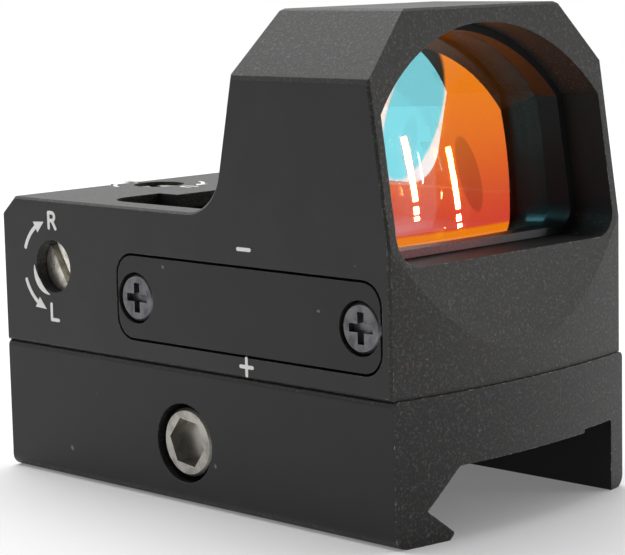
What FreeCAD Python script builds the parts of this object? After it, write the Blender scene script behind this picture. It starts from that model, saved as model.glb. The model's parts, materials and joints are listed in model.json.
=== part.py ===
import FreeCAD, Part
import math
import os
import Sketcher

# An open reflex (red dot) sight on a rail clamp. Millimetres, +Z up, the window looks along -Y.
# The origin is the middle of the box round the sight, at the height of the clamp's underside.

SIZES = [
    # Overall envelope
    ("width", 27.0, "across the housing and the rail mount"),
    ("length", 46.3, "front bow of the mount to the rear of the housing"),
    ("height", 39.0, "underside of the mount to the top of the hood"),
    ("mount_height", 11.0, "height of the rail mount, where the housing starts"),
    ("deck_height", 23.4, "height of the flat deck behind the hood"),
    ("bow_radius", 70.0, "radius of the bowed front seen from above"),
    ("face_step", 0.2, "front and rear offset between the housing and the mount"),
    ("edge_break", 0.2, "chamfer on the outer edges"),
    # Hood
    ("face_lean", 8.5, "degrees that the window face leans back"),
    ("face_corner_height", 22.2, "height where the leaning face runs out at the sides"),
    ("hood_lean", 12.0, "degrees that the back of the hood leans forward"),
    ("hood_foot", -3.2, "where the back of the hood would meet the deck"),
    ("hood_fillet", 3.8, "radius between the hood and the deck"),
    ("shoulder_width", 4.7, "width of the hood's sloping shoulders"),
    ("shoulder_drop", 5.0, "height of the hood's sloping shoulders"),
    ("deck_chamfer_length", 1.7, "rear deck chamfer, along the deck"),
    ("deck_chamfer_drop", 1.5, "rear deck chamfer, down the rear"),
    ("notch_width", 0.9, "width of the sighting notch"),
    ("notch_length", 1.4, "length of the sighting notch, from where the chamfer starts"),
    ("notch_depth", 0.5, "depth of the sighting notch"),
    # Window and lens, measured in the leaning face
    ("arch_height", 22.0, "height of the window arch's centre on the face"),
    ("arch_radius", 15.9, "radius of the window arch"),
    ("window_half", 12.6, "half width of the window recess"),
    ("window_below", 1.5, "from the arch's centre down to the window sill"),
    ("window_corner", 2.2, "radius of the window's lower corners"),
    ("ring_depth", 3.65, "from the face to the lens ring"),
    ("ring_wall", 0.6, "wall of the lens ring"),
    ("ring_back", 6.1, "from the face to the back of the lens ring before it is bedded"),
    ("lens_depth", 4.4, "from the face to the front of the lens"),
    ("lens_axis", 6.1, "from the arch's centre up to the optical axis"),
    ("front_element", 1.8, "centre thickness of the front lens element"),
    ("rear_element", 2.2, "centre thickness of the rear lens element"),
    ("front_radius", 56.0, "radius of the lens's front surface"),
    ("mirror_radius", 52.4, "radius of the coated surface, twice the distance to the emitter"),
    ("rear_radius", 54.0, "radius of the lens's rear surface"),
    ("seat_depth", 9.5, "from the face to the lens seal"),
    ("seal_thickness", 0.3, "thickness of the rubber seals"),
    ("lens_gap", 0.06, "clearance round the lens and its ring"),
    ("bore_half", 12.0, "half width of the bore behind the lens"),
    ("bore_radius", 15.2, "arch radius of the bore behind the lens"),
    # Well in the deck
    ("well_half", 11.1, "half width of the light well"),
    ("well_floor", 20.7, "height of the light well's floor"),
    ("well_rear", 12.5, "where the light well ends beside the emitter nose"),
    ("well_corner", 2.5, "radius of the light well's rear corners"),
    ("nose_half", 5.0, "half width of the emitter nose"),
    ("nose_front", 10.2, "front of the emitter nose"),
    ("trough_floor", 19.4, "height of the trough in front of the emitter"),
    ("trough_front", 5.7, "front of the trough in front of the emitter"),
    # Bays inside the housing
    ("battery_clear", 0.4, "clearance of the battery bay before and behind the tray"),
    ("battery_head", 2.2, "height of the battery bay above the coin cell"),
    ("near_wall", 2.5, "wall beside the battery bay on the door side"),
    ("far_wall", 2.3, "wall beside the battery bay on the button side"),
    ("bay_front", 13.5, "front of the emitter bay"),
    ("bay_rear_wall", 1.95, "wall behind the emitter bay"),
    ("bay_roof", 22.0, "roof of the emitter bay"),
    ("bay_near_wall", 4.0, "wall beside the emitter bay at the windage screw"),
    ("bay_far_wall", 3.0, "wall beside the emitter bay at the button"),
    ("nose_bay_half", 4.2, "half width of the emitter bay inside the nose"),
    # Underside
    ("cover_half", 11.9, "half width of the cover recess"),
    ("cover_front", -18.0, "front of the cover recess"),
    ("cover_rear", 21.9, "rear of the cover recess"),
    ("cover_thickness", 0.7, "thickness of the bottom cover"),
    ("cover_corner", 1.5, "corner radius of the cover"),
    ("cover_gap", 0.08, "clearance round the cover"),
    ("gasket_width", 0.8, "width of the cover gasket"),
    ("board_height", 12.15, "underside of the circuit board"),
    ("board_thickness", 0.8, "thickness of the circuit board"),
    ("board_half", 10.8, "half width of the circuit board"),
    ("board_front", -17.4, "front of the circuit board"),
    ("board_rear", 20.9, "rear of the circuit board"),
    ("board_room", 13.1, "roof of the passage for the circuit board"),
    ("boss_radius", 3.0, "radius of the boss for the rear body screw"),
    ("boss_gap", 0.2, "clearance round that boss"),
    # Screws from the mount into the housing
    ("body_screw_front", -19.6, "place of the front body screw"),
    ("body_screw_rear", 8.0, "place of the rear body screw"),
    ("body_screw_radius", 1.25, "thread radius of the body screws"),
    ("body_head_radius", 2.25, "head radius of the body screws"),
    ("body_head_height", 1.8, "head height of the body screws"),
    ("body_head_recess", 0.5, "how far above the rail seat the body screws' heads sit"),
    ("body_screw_top", 16.0, "how high the body screws reach"),
    ("body_socket", 1.15, "corner radius of the body screws' hexagon socket"),
    ("pin_radius", 1.0, "radius of the locating pins"),
    ("pin_spread", 9.0, "from the middle to each locating pin"),
    ("pin_bottom", 9.4, "lower end of the locating pins"),
    ("pin_top", 12.6, "upper end of the locating pins"),
    ("cover_screw_spread", 9.0, "from the middle to each cover screw"),
    ("cover_screw_radius", 0.8, "thread radius of the cover screws"),
    ("cover_head_radius", 1.4, "head radius of the cover screws"),
    ("cover_screw_top", 15.6, "how high the cover screws reach"),
    # Rail clamp
    ("channel_height", 5.45, "height of the seat on top of the rail"),
    ("rail_top_half", 7.4, "half width of the rail's flat top"),
    ("rail_half", 10.6, "half width of the rail at its widest"),
    ("rail_widest", 2.53, "height of the rail's widest line"),
    ("lip_half", 8.1, "half width between the jaws' lips"),
    ("lip_height", 0.6, "height of the jaws' lips"),
    ("lip_bevel", 0.4, "bevel under the jaws' lips"),
    ("seat_relief", 0.3, "relief of the seat on the clamp side"),
    ("mount_wall", 1.93, "wall of the mount on the clamp side"),
    ("mount_top_round", 0.5, "rounding of the mount's upper long edges"),
    ("mount_foot_round", 1.0, "rounding of the mount's lower long edges"),
    ("clamp_place", 0.8, "place of the clamp bolt along the sight"),
    ("clamp_height", 4.95, "height of the clamp bolt"),
    ("clamp_radius", 1.5, "thread radius of the clamp bolt"),
    ("clamp_head_radius", 2.75, "head radius of the clamp bolt"),
    ("clamp_head_height", 2.0, "head height of the clamp bolt"),
    ("clamp_head_recess", 0.3, "how deep the clamp bolt's head sits"),
    ("clamp_head_gap", 0.45, "clearance round the clamp bolt's head"),
    ("clamp_hole_gap", 0.12, "clearance round the clamp bolt's thread in the mount"),
    ("clamp_socket", 2.06, "corner radius of the clamp bolt's hexagon socket"),
    ("clamp_socket_depth", 1.3, "depth of the clamp bolt's hexagon socket"),
    ("clamp_socket_turn", 7.5, "degrees that the clamp bolt's socket is turned"),
    ("bolt_end_recess", 0.6, "from the outside of the jaw to the end of the bolt"),
    ("jaw_length", 12.2, "length of the clamp jaw"),
    ("jaw_top", 8.4, "height of the clamp jaw"),
    ("jaw_back_half", 7.95, "from the middle to the inner face of the jaw's root"),
    ("jaw_gap", 0.1, "clearance round the clamp jaw"),
    # Battery door, tray and cell
    ("door_front", -20.86, "front end of the battery door recess"),
    ("door_rear", 8.44, "rear end of the battery door recess"),
    ("door_bottom", 12.6, "bottom of the battery door recess"),
    ("door_top", 19.7, "top of the battery door recess"),
    ("door_corner", 1.9, "corner radius of the battery door recess"),
    ("door_gap", 0.22, "clearance round the battery door"),
    ("door_thickness", 1.6, "thickness of the battery door"),
    ("door_screw_front", -18.6, "place of the front door screw"),
    ("door_screw_rear", 6.1, "place of the rear door screw"),
    ("door_screw_height", 16.1, "height of the door screws"),
    ("door_screw_radius", 1.0, "thread radius of the door screws"),
    ("door_head_radius", 1.92, "head radius of the door screws"),
    ("door_head_height", 0.95, "head height of the door screws"),
    ("door_head_recess", 0.1, "how deep the door screws' heads sit"),
    ("door_head_gap", 0.16, "clearance round the door screws' heads"),
    ("door_screw_end", 8.4, "from the middle to the end of the door screws"),
    ("cross_width", 0.66, "width of the cross recesses"),
    ("cross_length", 2.4, "length of the cross recesses"),
    ("cross_depth", 0.6, "depth of the cross recesses"),
    ("cell_radius", 10.0, "radius of the coin cell"),
    ("cell_thickness", 3.2, "thickness of the coin cell"),
    ("cell_rim", 0.9, "width of the step round the coin cell's negative cap"),
    ("cell_step", 0.4, "height of the step round the coin cell's negative cap"),
    ("cell_across", -0.6, "coin cell's centre across the sight"),
    ("cell_place", -6.2, "coin cell's centre along the sight"),
    ("cell_bottom", 14.2, "underside of the coin cell"),
    ("tray_floor", 0.8, "floor thickness of the battery tray"),
    ("tray_wall", 0.9, "wall of the battery tray"),
    ("tray_gap", 0.1, "clearance between the cell and its tray"),
    ("tray_top", 17.2, "top of the battery tray's walls"),
    ("tray_slot_half", 2.2, "half width of the tray's slot for the positive contact"),
    ("tray_clear", 0.12, "clearance of the tray in its opening"),
    ("contact_thickness", 0.2, "thickness of the battery contacts"),
    ("contact_width", 3.0, "width of the battery contacts"),
    ("contact_gap", 0.05, "gap left between a contact and the cell"),
    # Adjusters: both screws share their sizes
    ("adjuster_radius", 2.15, "head radius of the adjusting screws"),
    ("adjuster_gap", 0.07, "radial clearance round the adjusting screws' heads"),
    ("adjuster_head", 1.9, "head length of the adjusting screws"),
    ("windage_recess", 1.05, "how deep the windage screw's head sits"),
    ("elevation_recess", 0.3, "how deep the elevation screw's head sits"),
    ("adjuster_thread", 1.25, "thread radius of the adjusting screws"),
    ("adjuster_neck", 0.9, "radius of the groove for the retaining clip"),
    ("adjuster_slot", 0.85, "width of the slot"),
    ("adjuster_slot_depth", 0.6, "depth of the slot"),
    ("seal_groove", 0.7, "width of the groove for the O-ring"),
    ("seal_groove_depth", 0.5, "depth of the groove for the O-ring"),
    ("clip_thickness", 0.4, "thickness of the retaining clips"),
    ("clip_radius", 2.1, "outer radius of the retaining clips"),
    ("clip_mouth", 0.74, "half width of the retaining clips' mouths"),
    ("clip_gap", 0.06, "clearance beside the retaining clips"),
    ("thread_gap", 0.03, "radial running clearance of the threads"),
    ("shaft_gap", 0.08, "radial clearance of plain screw holes"),
    ("windage_place", 16.5, "windage screw along the sight"),
    ("windage_height", 17.8, "height of the windage screw"),
    ("windage_tip", 3.6, "from the middle to the tip of the windage screw"),
    ("windage_slot_turn", 58.0, "degrees that the windage slot is turned"),
    ("elevation_place", 18.2, "elevation screw along the sight"),
    ("elevation_tip", 13.4, "height of the elevation screw's tip"),
    ("elevation_slot_turn", 65.0, "degrees that the elevation slot is turned"),
    ("elevation_boss_wall", 0.63, "wall of the boss round the elevation screw"),
    ("disc_outer", 1.9, "outer radius of the disc springs"),
    ("disc_inner", 1.35, "inner radius of the disc springs"),
    ("disc_thickness", 0.15, "thickness of the disc springs"),
    ("disc_clear", 0.1, "gap left at each end of a stack of disc springs"),
    # Emitter mechanism
    ("block_half", 3.3, "half width of the emitter block"),
    ("block_front", 12.1, "front of the emitter block"),
    ("block_boss_gap", 0.15, "from the emitter block to the boss round the elevation screw"),
    ("block_bottom", 13.6, "underside of the emitter block"),
    ("block_top", 21.2, "top of the emitter block"),
    ("guide_depth", 0.8, "depth of the guide rib between carriage and block"),
    ("guide_front", 13.85, "front of the guide rib"),
    ("guide_width", 0.9, "width of the guide rib"),
    ("slide_gap", 0.05, "sliding clearance in the emitter mechanism"),
    ("carriage_outer", 6.4, "from the middle to the carriage's outer face"),
    ("carriage_inner", 3.5, "from the middle to the carriage's inner face"),
    ("carriage_front", 13.7, "front of the windage carriage"),
    ("carriage_rear", 18.9, "rear of the windage carriage"),
    ("carriage_bottom", 15.9, "underside of the windage carriage"),
    ("carriage_top", 19.9, "top of the windage carriage"),
    ("nut_half", 2.4, "half width of the elevation nut"),
    ("nut_front", 16.1, "front of the elevation nut"),
    ("nut_rear", 20.5, "rear of the elevation nut"),
    ("nut_bottom", 13.7, "underside of the elevation nut"),
    ("nut_top", 15.5, "top of the elevation nut"),
    ("tongue_half", 1.6, "half width of the elevation nut's tongue"),
    ("tongue_front", 14.4, "front of the elevation nut's tongue"),
    ("tongue_bottom", 14.2, "underside of the elevation nut's tongue"),
    ("tongue_top", 15.0, "top of the elevation nut's tongue"),
    ("emitter_board_half", 2.4, "half width of the emitter board"),
    ("emitter_board_bottom", 18.2, "underside of the emitter board"),
    ("emitter_board_thickness", 0.5, "thickness of the emitter board"),
    ("led_height", 20.4, "height of the light emitter"),
    ("led_half", 0.8, "half width of the light emitter's package"),
    ("led_thickness", 0.35, "thickness of the light emitter's package"),
    ("led_lens", 0.3, "radius of the light emitter's round lens"),
    ("glass_half", 4.5, "half width of the emitter's window glass"),
    ("glass_front", 10.35, "front of the emitter's window glass"),
    ("glass_thickness", 0.6, "thickness of the emitter's window glass"),
    ("glass_top", 22.2, "top of the emitter's window glass"),
    # Power button
    ("button_place", 17.35, "power button along the sight"),
    ("button_height", 17.3, "height of the power button"),
    ("button_radius", 2.9, "radius of the power button"),
    ("button_gap", 0.2, "radial clearance round the power button"),
    ("button_flange", 0.8, "width of the flange inside the wall"),
    ("button_flange_thickness", 0.5, "thickness of that flange"),
    ("button_sink", 0.1, "how deep the power button's face sits"),
    ("button_travel", 0.4, "travel of the power button"),
    ("switch_half", 2.6, "half size of the switch behind the power button"),
    ("switch_inner", 6.9, "from the middle to the back of the switch"),
]


class Size:
    """A length that knows its value and the sheet expression that it comes from."""

    def __init__(self, text, value):
        self.text = text
        self.value = value

    def __add__(self, other):
        other = size(other)
        return Size(f"({self.text} + {other.text})", self.value + other.value)

    def __sub__(self, other):
        other = size(other)
        return Size(f"({self.text} - {other.text})", self.value - other.value)

    def __mul__(self, other):
        other = size(other)
        return Size(f"({self.text} * {other.text})", self.value * other.value)

    def __truediv__(self, other):
        other = size(other)
        return Size(f"({self.text} / {other.text})", self.value / other.value)

    def __neg__(self):
        return Size(f"(0 - {self.text})", -self.value)

    def __radd__(self, other):
        return size(other) + self

    def __rsub__(self, other):
        return size(other) - self

    def __rmul__(self, other):
        return size(other) * self


def size(number):
    """A plain number as a Size; a Size stays what it is."""
    return number if isinstance(number, Size) else Size(repr(float(number)), float(number))


def root(area):
    return Size(f"sqrt({area.text})", math.sqrt(area.value))


def turn(function, angle):
    """The sine, cosine or tangent of an angle in degrees."""
    return Size(f"{function}({angle.text} * 1deg)", getattr(math, function)(math.radians(angle.value)))


class Sheet:
    """The document's spreadsheet, with each size as an attribute."""

    def __init__(self, document, rows):
        page = document.addObject("Spreadsheet::Sheet", "Sizes")
        for number, (name, value, note) in enumerate(rows, 1):
            page.set(f"A{number}", note)
            page.set(f"B{number}", str(value))
            page.setAlias(f"B{number}", name)
            setattr(self, name, Size(f"Sizes.{name}", value))


doc = FreeCAD.newDocument("ReflexSight")
S = Sheet(doc, SIZES)
doc.recompute()
PIECES = []
MARGIN = 1.0    # how far a cut runs past the face that it starts from

# Places that several pieces share
HALF = S.width / 2
FRONT = -S.length / 2
REAR = S.length / 2
BOW = S.bow_radius - root(S.bow_radius * S.bow_radius - HALF * HALF)
HOUSING_FRONT = FRONT + S.face_step
MOUNT_REAR = REAR - S.face_step
FACE_CORNER = HOUSING_FRONT + BOW
LEAN_SIN = turn("sin", S.face_lean)
LEAN_COS = turn("cos", S.face_lean)
ARCH_PLACE = FACE_CORNER + turn("tan", S.face_lean) * (S.arch_height - S.face_corner_height)
BATTERY_NEAR = S.near_wall - HALF
BATTERY_FAR = HALF - S.far_wall
BAY_NEAR = S.bay_near_wall - HALF
BAY_FAR = HALF - S.bay_far_wall
BAY_REAR = REAR - S.bay_rear_wall
DOOR_SEAT = S.door_thickness + S.seal_thickness - HALF
COVER_TOP = S.mount_height + S.cover_thickness + S.seal_thickness
BOARD_TOP = S.board_height + S.board_thickness
CLAMP_SEAT = S.clamp_head_recess + S.clamp_head_height - HALF
SCREW_HEAD_LOW = S.channel_height + S.body_head_recess
ADJUSTER_HOLE = S.adjuster_radius + S.adjuster_gap
SEAL_FLOOR = S.adjuster_radius - S.seal_groove_depth
CLIP_ROOM = S.clip_thickness + 2 * S.clip_gap
WINDAGE_FACE = S.windage_recess - HALF
ELEVATION_FACE = S.deck_height - S.elevation_recess
ELEVATION_BOSS_END = S.deck_height - S.bay_near_wall
ELEVATION_BOSS = ADJUSTER_HOLE + S.elevation_boss_wall
BLOCK_REAR = S.elevation_place - ELEVATION_BOSS - S.block_boss_gap
CELL_TOP = S.cell_bottom + S.cell_thickness
SEAT_BACK = S.seat_depth + S.seal_thickness
TRAY_FRONT = S.cell_place - S.cell_radius - S.tray_gap - S.tray_wall
TRAY_REAR = S.cell_place + S.cell_radius + S.tray_gap + S.tray_wall
TRAY_BOTTOM = S.cell_bottom - S.tray_floor
BATTERY_FRONT = TRAY_FRONT - S.battery_clear
BATTERY_REAR = TRAY_REAR + S.battery_clear
BATTERY_ROOF = CELL_TOP + S.battery_head


# ---- drawing helpers -------------------------------------------------------------------------

def bind(thing, name, length):
    thing.setExpression(name, size(length).text)


def body(label):
    piece = doc.addObject("PartDesign::Body", label)
    piece.Label = label
    PIECES.append(piece)
    return piece


def keep(piece, label):
    """Names a Part object as one of the sight's pieces."""
    piece.Label = label
    PIECES.append(piece)
    return piece


def flat(piece, plane, offset):
    """A sketch parallel to one of the body's own origin planes."""
    sketch = piece.newObject("Sketcher::SketchObject", "Outline")
    support = next(item for item in piece.Origin.OriginFeatures if item.Role == plane)
    sketch.AttachmentSupport = [(support, "")]
    sketch.MapMode = "FlatFace"
    bind(sketch, "AttachmentOffset.Base.z", offset)
    return sketch


def leaning(piece, depth):
    """A sketch parallel to the leaning window face: x across, y up the face from the arch's centre."""
    sketch = flat(piece, "XY_Plane", 0)
    place, height = on_face(0, depth)
    angle = 90 - S.face_lean
    sketch.AttachmentOffset = FreeCAD.Placement(
        FreeCAD.Vector(0, place.value, height.value), FreeCAD.Rotation(FreeCAD.Vector(1, 0, 0), angle.value)
    )
    bind(sketch, "AttachmentOffset.Base.y", place)
    bind(sketch, "AttachmentOffset.Base.z", height)
    bind(sketch, "AttachmentOffset.Rotation.Angle", angle)
    return sketch


def on_face(up, depth):
    """Y and Z of a point on a plane some depth behind the leaning face, and up it from the arch's
    centre. The window runs straight back, so the arch's centre keeps its height."""
    return ARCH_PLACE + up * LEAN_SIN + depth / LEAN_COS, S.arch_height + up * LEAN_COS


def pin_point(sketch, geometry, end, point):
    """Ties one end (1, 2) or the centre (3) of a curve to a place, by its two coordinates."""
    for kind, coordinate in zip(("DistanceX", "DistanceY"), point):
        tie(sketch, kind, geometry, end, coordinate)


def tie(sketch, kind, geometry, end, length):
    length = size(length)
    index = sketch.addConstraint(Sketcher.Constraint(kind, -1, 1, geometry, end, length.value))
    sketch.setExpression(f"Constraints[{index}]", length.text)


def outline(sketch, points, arcs=None):
    """A closed outline through the points. arcs gives, by the number of its first point, the
    centre of each stretch that is an arc: ("x", place) or ("y", place) is enough to fix it."""
    arcs = arcs or {}
    flat_points = [FreeCAD.Vector(size(x).value, size(y).value, 0) for x, y in points]
    numbers = []
    for index, first in enumerate(flat_points):
        second = flat_points[(index + 1) % len(points)]
        if index in arcs:
            curve, start, end = arc_between(first, second, *arcs[index])
        else:
            curve, start, end = Part.LineSegment(first, second), 1, 2
        numbers.append((sketch.addGeometry(curve), start, end))
    for index, (geometry, start, end) in enumerate(numbers):
        following, its_start, _ = numbers[(index + 1) % len(numbers)]
        sketch.addConstraint(Sketcher.Constraint("Coincident", geometry, end, following, its_start))
        pin_point(sketch, geometry, start, points[index])
        if index in arcs:
            direction, place = arcs[index]
            tie(sketch, "DistanceX" if direction == "x" else "DistanceY", geometry, 3, place)
    return sketch


def arc_between(first, second, direction, place):
    """The short arc between two points, with one coordinate of its centre known."""
    place = size(place).value
    middle = (first + second) / 2
    chord = second - first
    if direction == "x":
        centre = FreeCAD.Vector(place, middle.y - (place - middle.x) * chord.x / chord.y, 0)
    else:
        centre = FreeCAD.Vector(middle.x - (place - middle.y) * chord.y / chord.x, place, 0)
    full = curve_up(centre, (first - centre).Length)
    if chord.cross(centre - first).z > 0:
        return Part.ArcOfCircle(full, *rising(centre, first, second)), 1, 2
    return Part.ArcOfCircle(full, *rising(centre, second, first)), 2, 1


def curve_up(centre, radius):
    return Part.Circle(centre, FreeCAD.Vector(0, 0, 1), radius)


def rising(centre, first, second):
    """The two angles from the centre, with the second above the first."""
    start = math.atan2(first.y - centre.y, first.x - centre.x)
    end = math.atan2(second.y - centre.y, second.x - centre.x)
    return start, end if end > start else end + 2 * math.pi


def rectangle(sketch, left, right, bottom, top):
    return outline(sketch, [(left, bottom), (right, bottom), (right, top), (left, top)])


def rounded(sketch, left, right, bottom, top, radius):
    """A rectangle with equal round corners."""
    points = [
        (left + radius, bottom), (right - radius, bottom),
        (right, bottom + radius), (right, top - radius),
        (right - radius, top), (left + radius, top),
        (left, top - radius), (left, bottom + radius),
    ]
    right_turn, left_turn = ("x", right - radius), ("x", left + radius)
    arcs = {1: right_turn, 3: right_turn, 5: left_turn, 7: left_turn}
    return outline(sketch, points, arcs)


def circle(sketch, x, y, radius):
    x, y, radius = size(x), size(y), size(radius)
    number = sketch.addGeometry(curve_up(FreeCAD.Vector(x.value, y.value, 0), radius.value))
    pin_point(sketch, number, 3, (x, y))
    index = sketch.addConstraint(Sketcher.Constraint("Radius", number, radius.value))
    sketch.setExpression(f"Constraints[{index}]", radius.text)
    return sketch


def polygon(sketch, x, y, radius, sides, start=0.0):
    """A regular polygon given by its corner radius."""
    points = []
    for number in range(sides):
        angle = math.radians(start + 360.0 * number / sides)
        points.append((x + radius * math.cos(angle), y + radius * math.sin(angle)))
    return outline(sketch, points)


def feature(piece, kind, sketch, length):
    item = piece.newObject(kind, "Feature")
    item.Profile = sketch
    bind(item, "Length", length)
    sketch.Visibility = False
    return item


SIDE = {"XY_Plane": 1, "XZ_Plane": -1, "YZ_Plane": 1}


def add(piece, plane, low, high, draw, *sizes):
    """Material between two parallel planes, low and high along the plane's row axis."""
    sign = SIDE[plane]
    sketch = draw(flat(piece, plane, low if sign > 0 else -high), *sizes)
    return feature(piece, "PartDesign::Pad", sketch, high - low)


def carve(piece, plane, low, high, draw, *sizes):
    """Removes what lies between two parallel planes, low and high along the plane's row axis."""
    sign = SIDE[plane]
    sketch = draw(flat(piece, plane, high if sign > 0 else -low), *sizes)
    return feature(piece, "PartDesign::Pocket", sketch, high - low)


def edges_where(item, test):
    """Names of a feature's edges that pass a test on their two ends and middle."""
    names = []
    for number, edge in enumerate(item.Shape.Edges, 1):
        middle = edge.valueAt((edge.FirstParameter + edge.LastParameter) / 2)
        points = [vertex.Point for vertex in edge.Vertexes] + [middle]
        if all(test(point) for point in points):
            names.append(f"Edge{number}")
    return names


def dress(piece, kind, test, prop, length):
    """A fillet or chamfer on the edges of the body's last feature that pass the test."""
    doc.recompute()
    base = piece.Tip
    item = piece.newObject(kind, "Dress")
    item.Base = (base, edges_where(base, test))
    bind(item, prop, length)
    return item


def near(number, target):
    return abs(number - size(target).value) < 0.01


def block(low, high):
    """A box between two corners."""
    item = doc.addObject("Part::Box", "Block")
    for name, axis, start, end in zip(("Length", "Width", "Height"), "xyz", low, high):
        bind(item, name, size(end) - start)
        bind(item, f"Placement.Base.{axis}", start)
    return item


TURNS = {
    "X": FreeCAD.Rotation(FreeCAD.Vector(0, 1, 0), 90),
    "Z": FreeCAD.Rotation(),
}


def placed(item, at, axis):
    item.Placement = FreeCAD.Placement(FreeCAD.Vector(0, 0, 0), TURNS[axis])
    for name, place in zip("xyz", at):
        bind(item, f"Placement.Base.{name}", place)
    return item


def rod(radius, length, at, axis="Z"):
    """A cylinder that starts at a point and runs along an axis."""
    item = doc.addObject("Part::Cylinder", "Rod")
    bind(item, "Radius", radius)
    bind(item, "Height", length)
    return placed(item, at, axis)


def ball(radius, at):
    item = doc.addObject("Part::Sphere", "Ball")
    bind(item, "Radius", radius)
    return placed(item, at, "Z")


def join(*parts):
    item = doc.addObject("Part::MultiFuse", "Join")
    item.Shapes = list(parts)
    return item


def cut(base, tool):
    item = doc.addObject("Part::Cut", "Cut")
    item.Base, item.Tool = base, tool
    return item


def common(base, tool):
    item = doc.addObject("Part::Common", "Common")
    item.Base, item.Tool = base, tool
    return item


def group(*parts):
    item = doc.addObject("Part::Compound", "Group")
    item.Links = list(parts)
    return item


# ---- outlines that several pieces share ------------------------------------------------------

def plan(sketch, front, rear):
    """The plan of the sight: straight sides and rear, and a bowed front."""
    corner = front + BOW
    points = [(-HALF, rear), (-HALF, corner), (HALF, corner), (HALF, rear)]
    return outline(sketch, points, {1: ("y", front + S.bow_radius)})


def arch(sketch, half, radius, sill, corner):
    """The window's shape: a flat sill with round corners, straight sides and an arched top."""
    spring = root(radius * radius - half * half)
    points = [
        (corner - half, sill), (half - corner, sill), (half, sill + corner), (half, spring),
        (-half, spring), (-half, sill + corner),
    ]
    return outline(sketch, points, {1: ("x", half - corner), 3: ("y", 0), 5: ("x", corner - half)})


def window(sketch, inset):
    """The window's outline in the leaning face, made smaller all round by the inset."""
    return arch(
        sketch, S.window_half - inset, S.arch_radius - inset, inset - S.window_below, S.window_corner - inset
    )


def through_window(piece, kind, inset, depth, back):
    """Adds or cuts the window's outline between two depths behind the leaning face, straight
    forward along -Y, so that both ends lean as the face does."""
    item = feature(piece, kind, window(leaning(piece, back), inset), (back - depth) / LEAN_COS)
    item.UseCustomVector = True
    item.AlongSketchNormal = False
    item.Direction = FreeCAD.Vector(0, -1, 0)
    return item


# ---- housing ---------------------------------------------------------------------------------

def upper_housing():
    piece = body("upper_housing")
    add(piece, "XY_Plane", S.mount_height, S.height, plan, HOUSING_FRONT, REAR)
    carve(piece, "YZ_Plane", -HALF - MARGIN, HALF + MARGIN, behind_hood)
    carve(piece, "YZ_Plane", -HALF - MARGIN, HALF + MARGIN, before_face)
    for side in (-1, 1):
        carve(piece, "XZ_Plane", FRONT - MARGIN, REAR + MARGIN, beyond_shoulder, side)
    break_housing_edges(piece)
    cut_window(piece)
    cut_light_well(piece)
    cut_bays(piece)
    cut_underside(piece)
    cut_adjuster_holes(piece)
    cut_battery_door(piece)
    return piece


def behind_hood(sketch):
    """Side view of what is cut away above the deck, with the fillet at the hood's foot."""
    slope = turn("tan", S.hood_lean)
    tangent = S.hood_fillet * (turn("cos", S.hood_lean) / (1 + turn("sin", S.hood_lean)))
    rise = tangent * turn("cos", S.hood_lean)
    run = tangent * turn("sin", S.hood_lean)
    top = S.height + MARGIN
    start = S.hood_foot + tangent
    chamfer = S.deck_chamfer_drop / S.deck_chamfer_length
    points = [
        (start, S.deck_height),
        (S.hood_foot - run, S.deck_height + rise),
        (S.hood_foot - slope * (top - S.deck_height), top),
        (REAR + MARGIN, top),
        (REAR + MARGIN, S.deck_height - S.deck_chamfer_drop - chamfer * MARGIN),
        (REAR - S.deck_chamfer_length, S.deck_height),
    ]
    return outline(sketch, points, {0: ("x", start)})


def before_face(sketch):
    """Side view of what is cut away in front of the leaning window face."""
    slope = turn("tan", S.face_lean)
    low, high = S.mount_height - MARGIN, S.height + MARGIN
    far = FRONT - 3 * MARGIN
    points = [
        (FACE_CORNER + slope * (low - S.face_corner_height), low),
        (FACE_CORNER + slope * (high - S.face_corner_height), high),
        (far, high), (far, low),
    ]
    return outline(sketch, points)


def beyond_shoulder(sketch, side):
    """Front view of the corner above one of the hood's sloping shoulders."""
    slope = S.shoulder_width / S.shoulder_drop
    top = S.height + MARGIN
    bottom = S.height - S.shoulder_drop - MARGIN
    points = [
        (side * (HALF + slope * MARGIN), bottom),
        (side * (HALF + slope * MARGIN), top),
        (side * (HALF - S.shoulder_width - slope * MARGIN), top),
    ]
    return outline(sketch, points)


def break_housing_edges(piece):
    """Chamfers round both flat sides and along the two edges of the hood's top."""
    side, top = HALF.value, S.height.value
    dress(
        piece, "PartDesign::Chamfer", lambda point: near(abs(point.x), side) or near(point.z, top),
        "Size", S.edge_break,
    )


def cut_window(piece):
    """The lens recess, square to the leaning face, and the bore behind it."""
    through_window(piece, "PartDesign::Pocket", 0, -MARGIN, SEAT_BACK)
    start = ARCH_PLACE + S.seat_depth - 2 * MARGIN
    carve(piece, "XZ_Plane", start, S.hood_foot + S.hood_fillet + MARGIN, bore)


def bore(sketch):
    half = S.bore_half
    spring = root(S.bore_radius * S.bore_radius - half * half)
    level = S.arch_height
    points = [(-half, S.deck_height), (half, S.deck_height), (half, level + spring), (-half, level + spring)]
    return outline(sketch, points, {2: ("y", level)})


def cut_light_well(piece):
    """The well behind the lens, with the emitter nose standing into it, and the trough before it."""
    carve(piece, "XY_Plane", S.well_floor, S.deck_height, light_well)
    carve(
        piece, "XY_Plane", S.trough_floor, S.glass_top, rectangle,
        -S.glass_half, S.glass_half, S.trough_front, S.glass_front + S.glass_thickness,
    )


def light_well(sketch):
    half, rear, corner = S.well_half, S.well_rear, S.well_corner
    start = ARCH_PLACE + S.seat_depth - MARGIN
    points = [
        (-half, start), (half, start), (half, rear - corner), (half - corner, rear),
        (S.nose_half, rear), (S.nose_half, S.nose_front), (-S.nose_half, S.nose_front), (-S.nose_half, rear),
        (corner - half, rear), (-half, rear - corner),
    ]
    return outline(sketch, points, {2: ("x", half - corner), 8: ("x", corner - half)})


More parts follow.
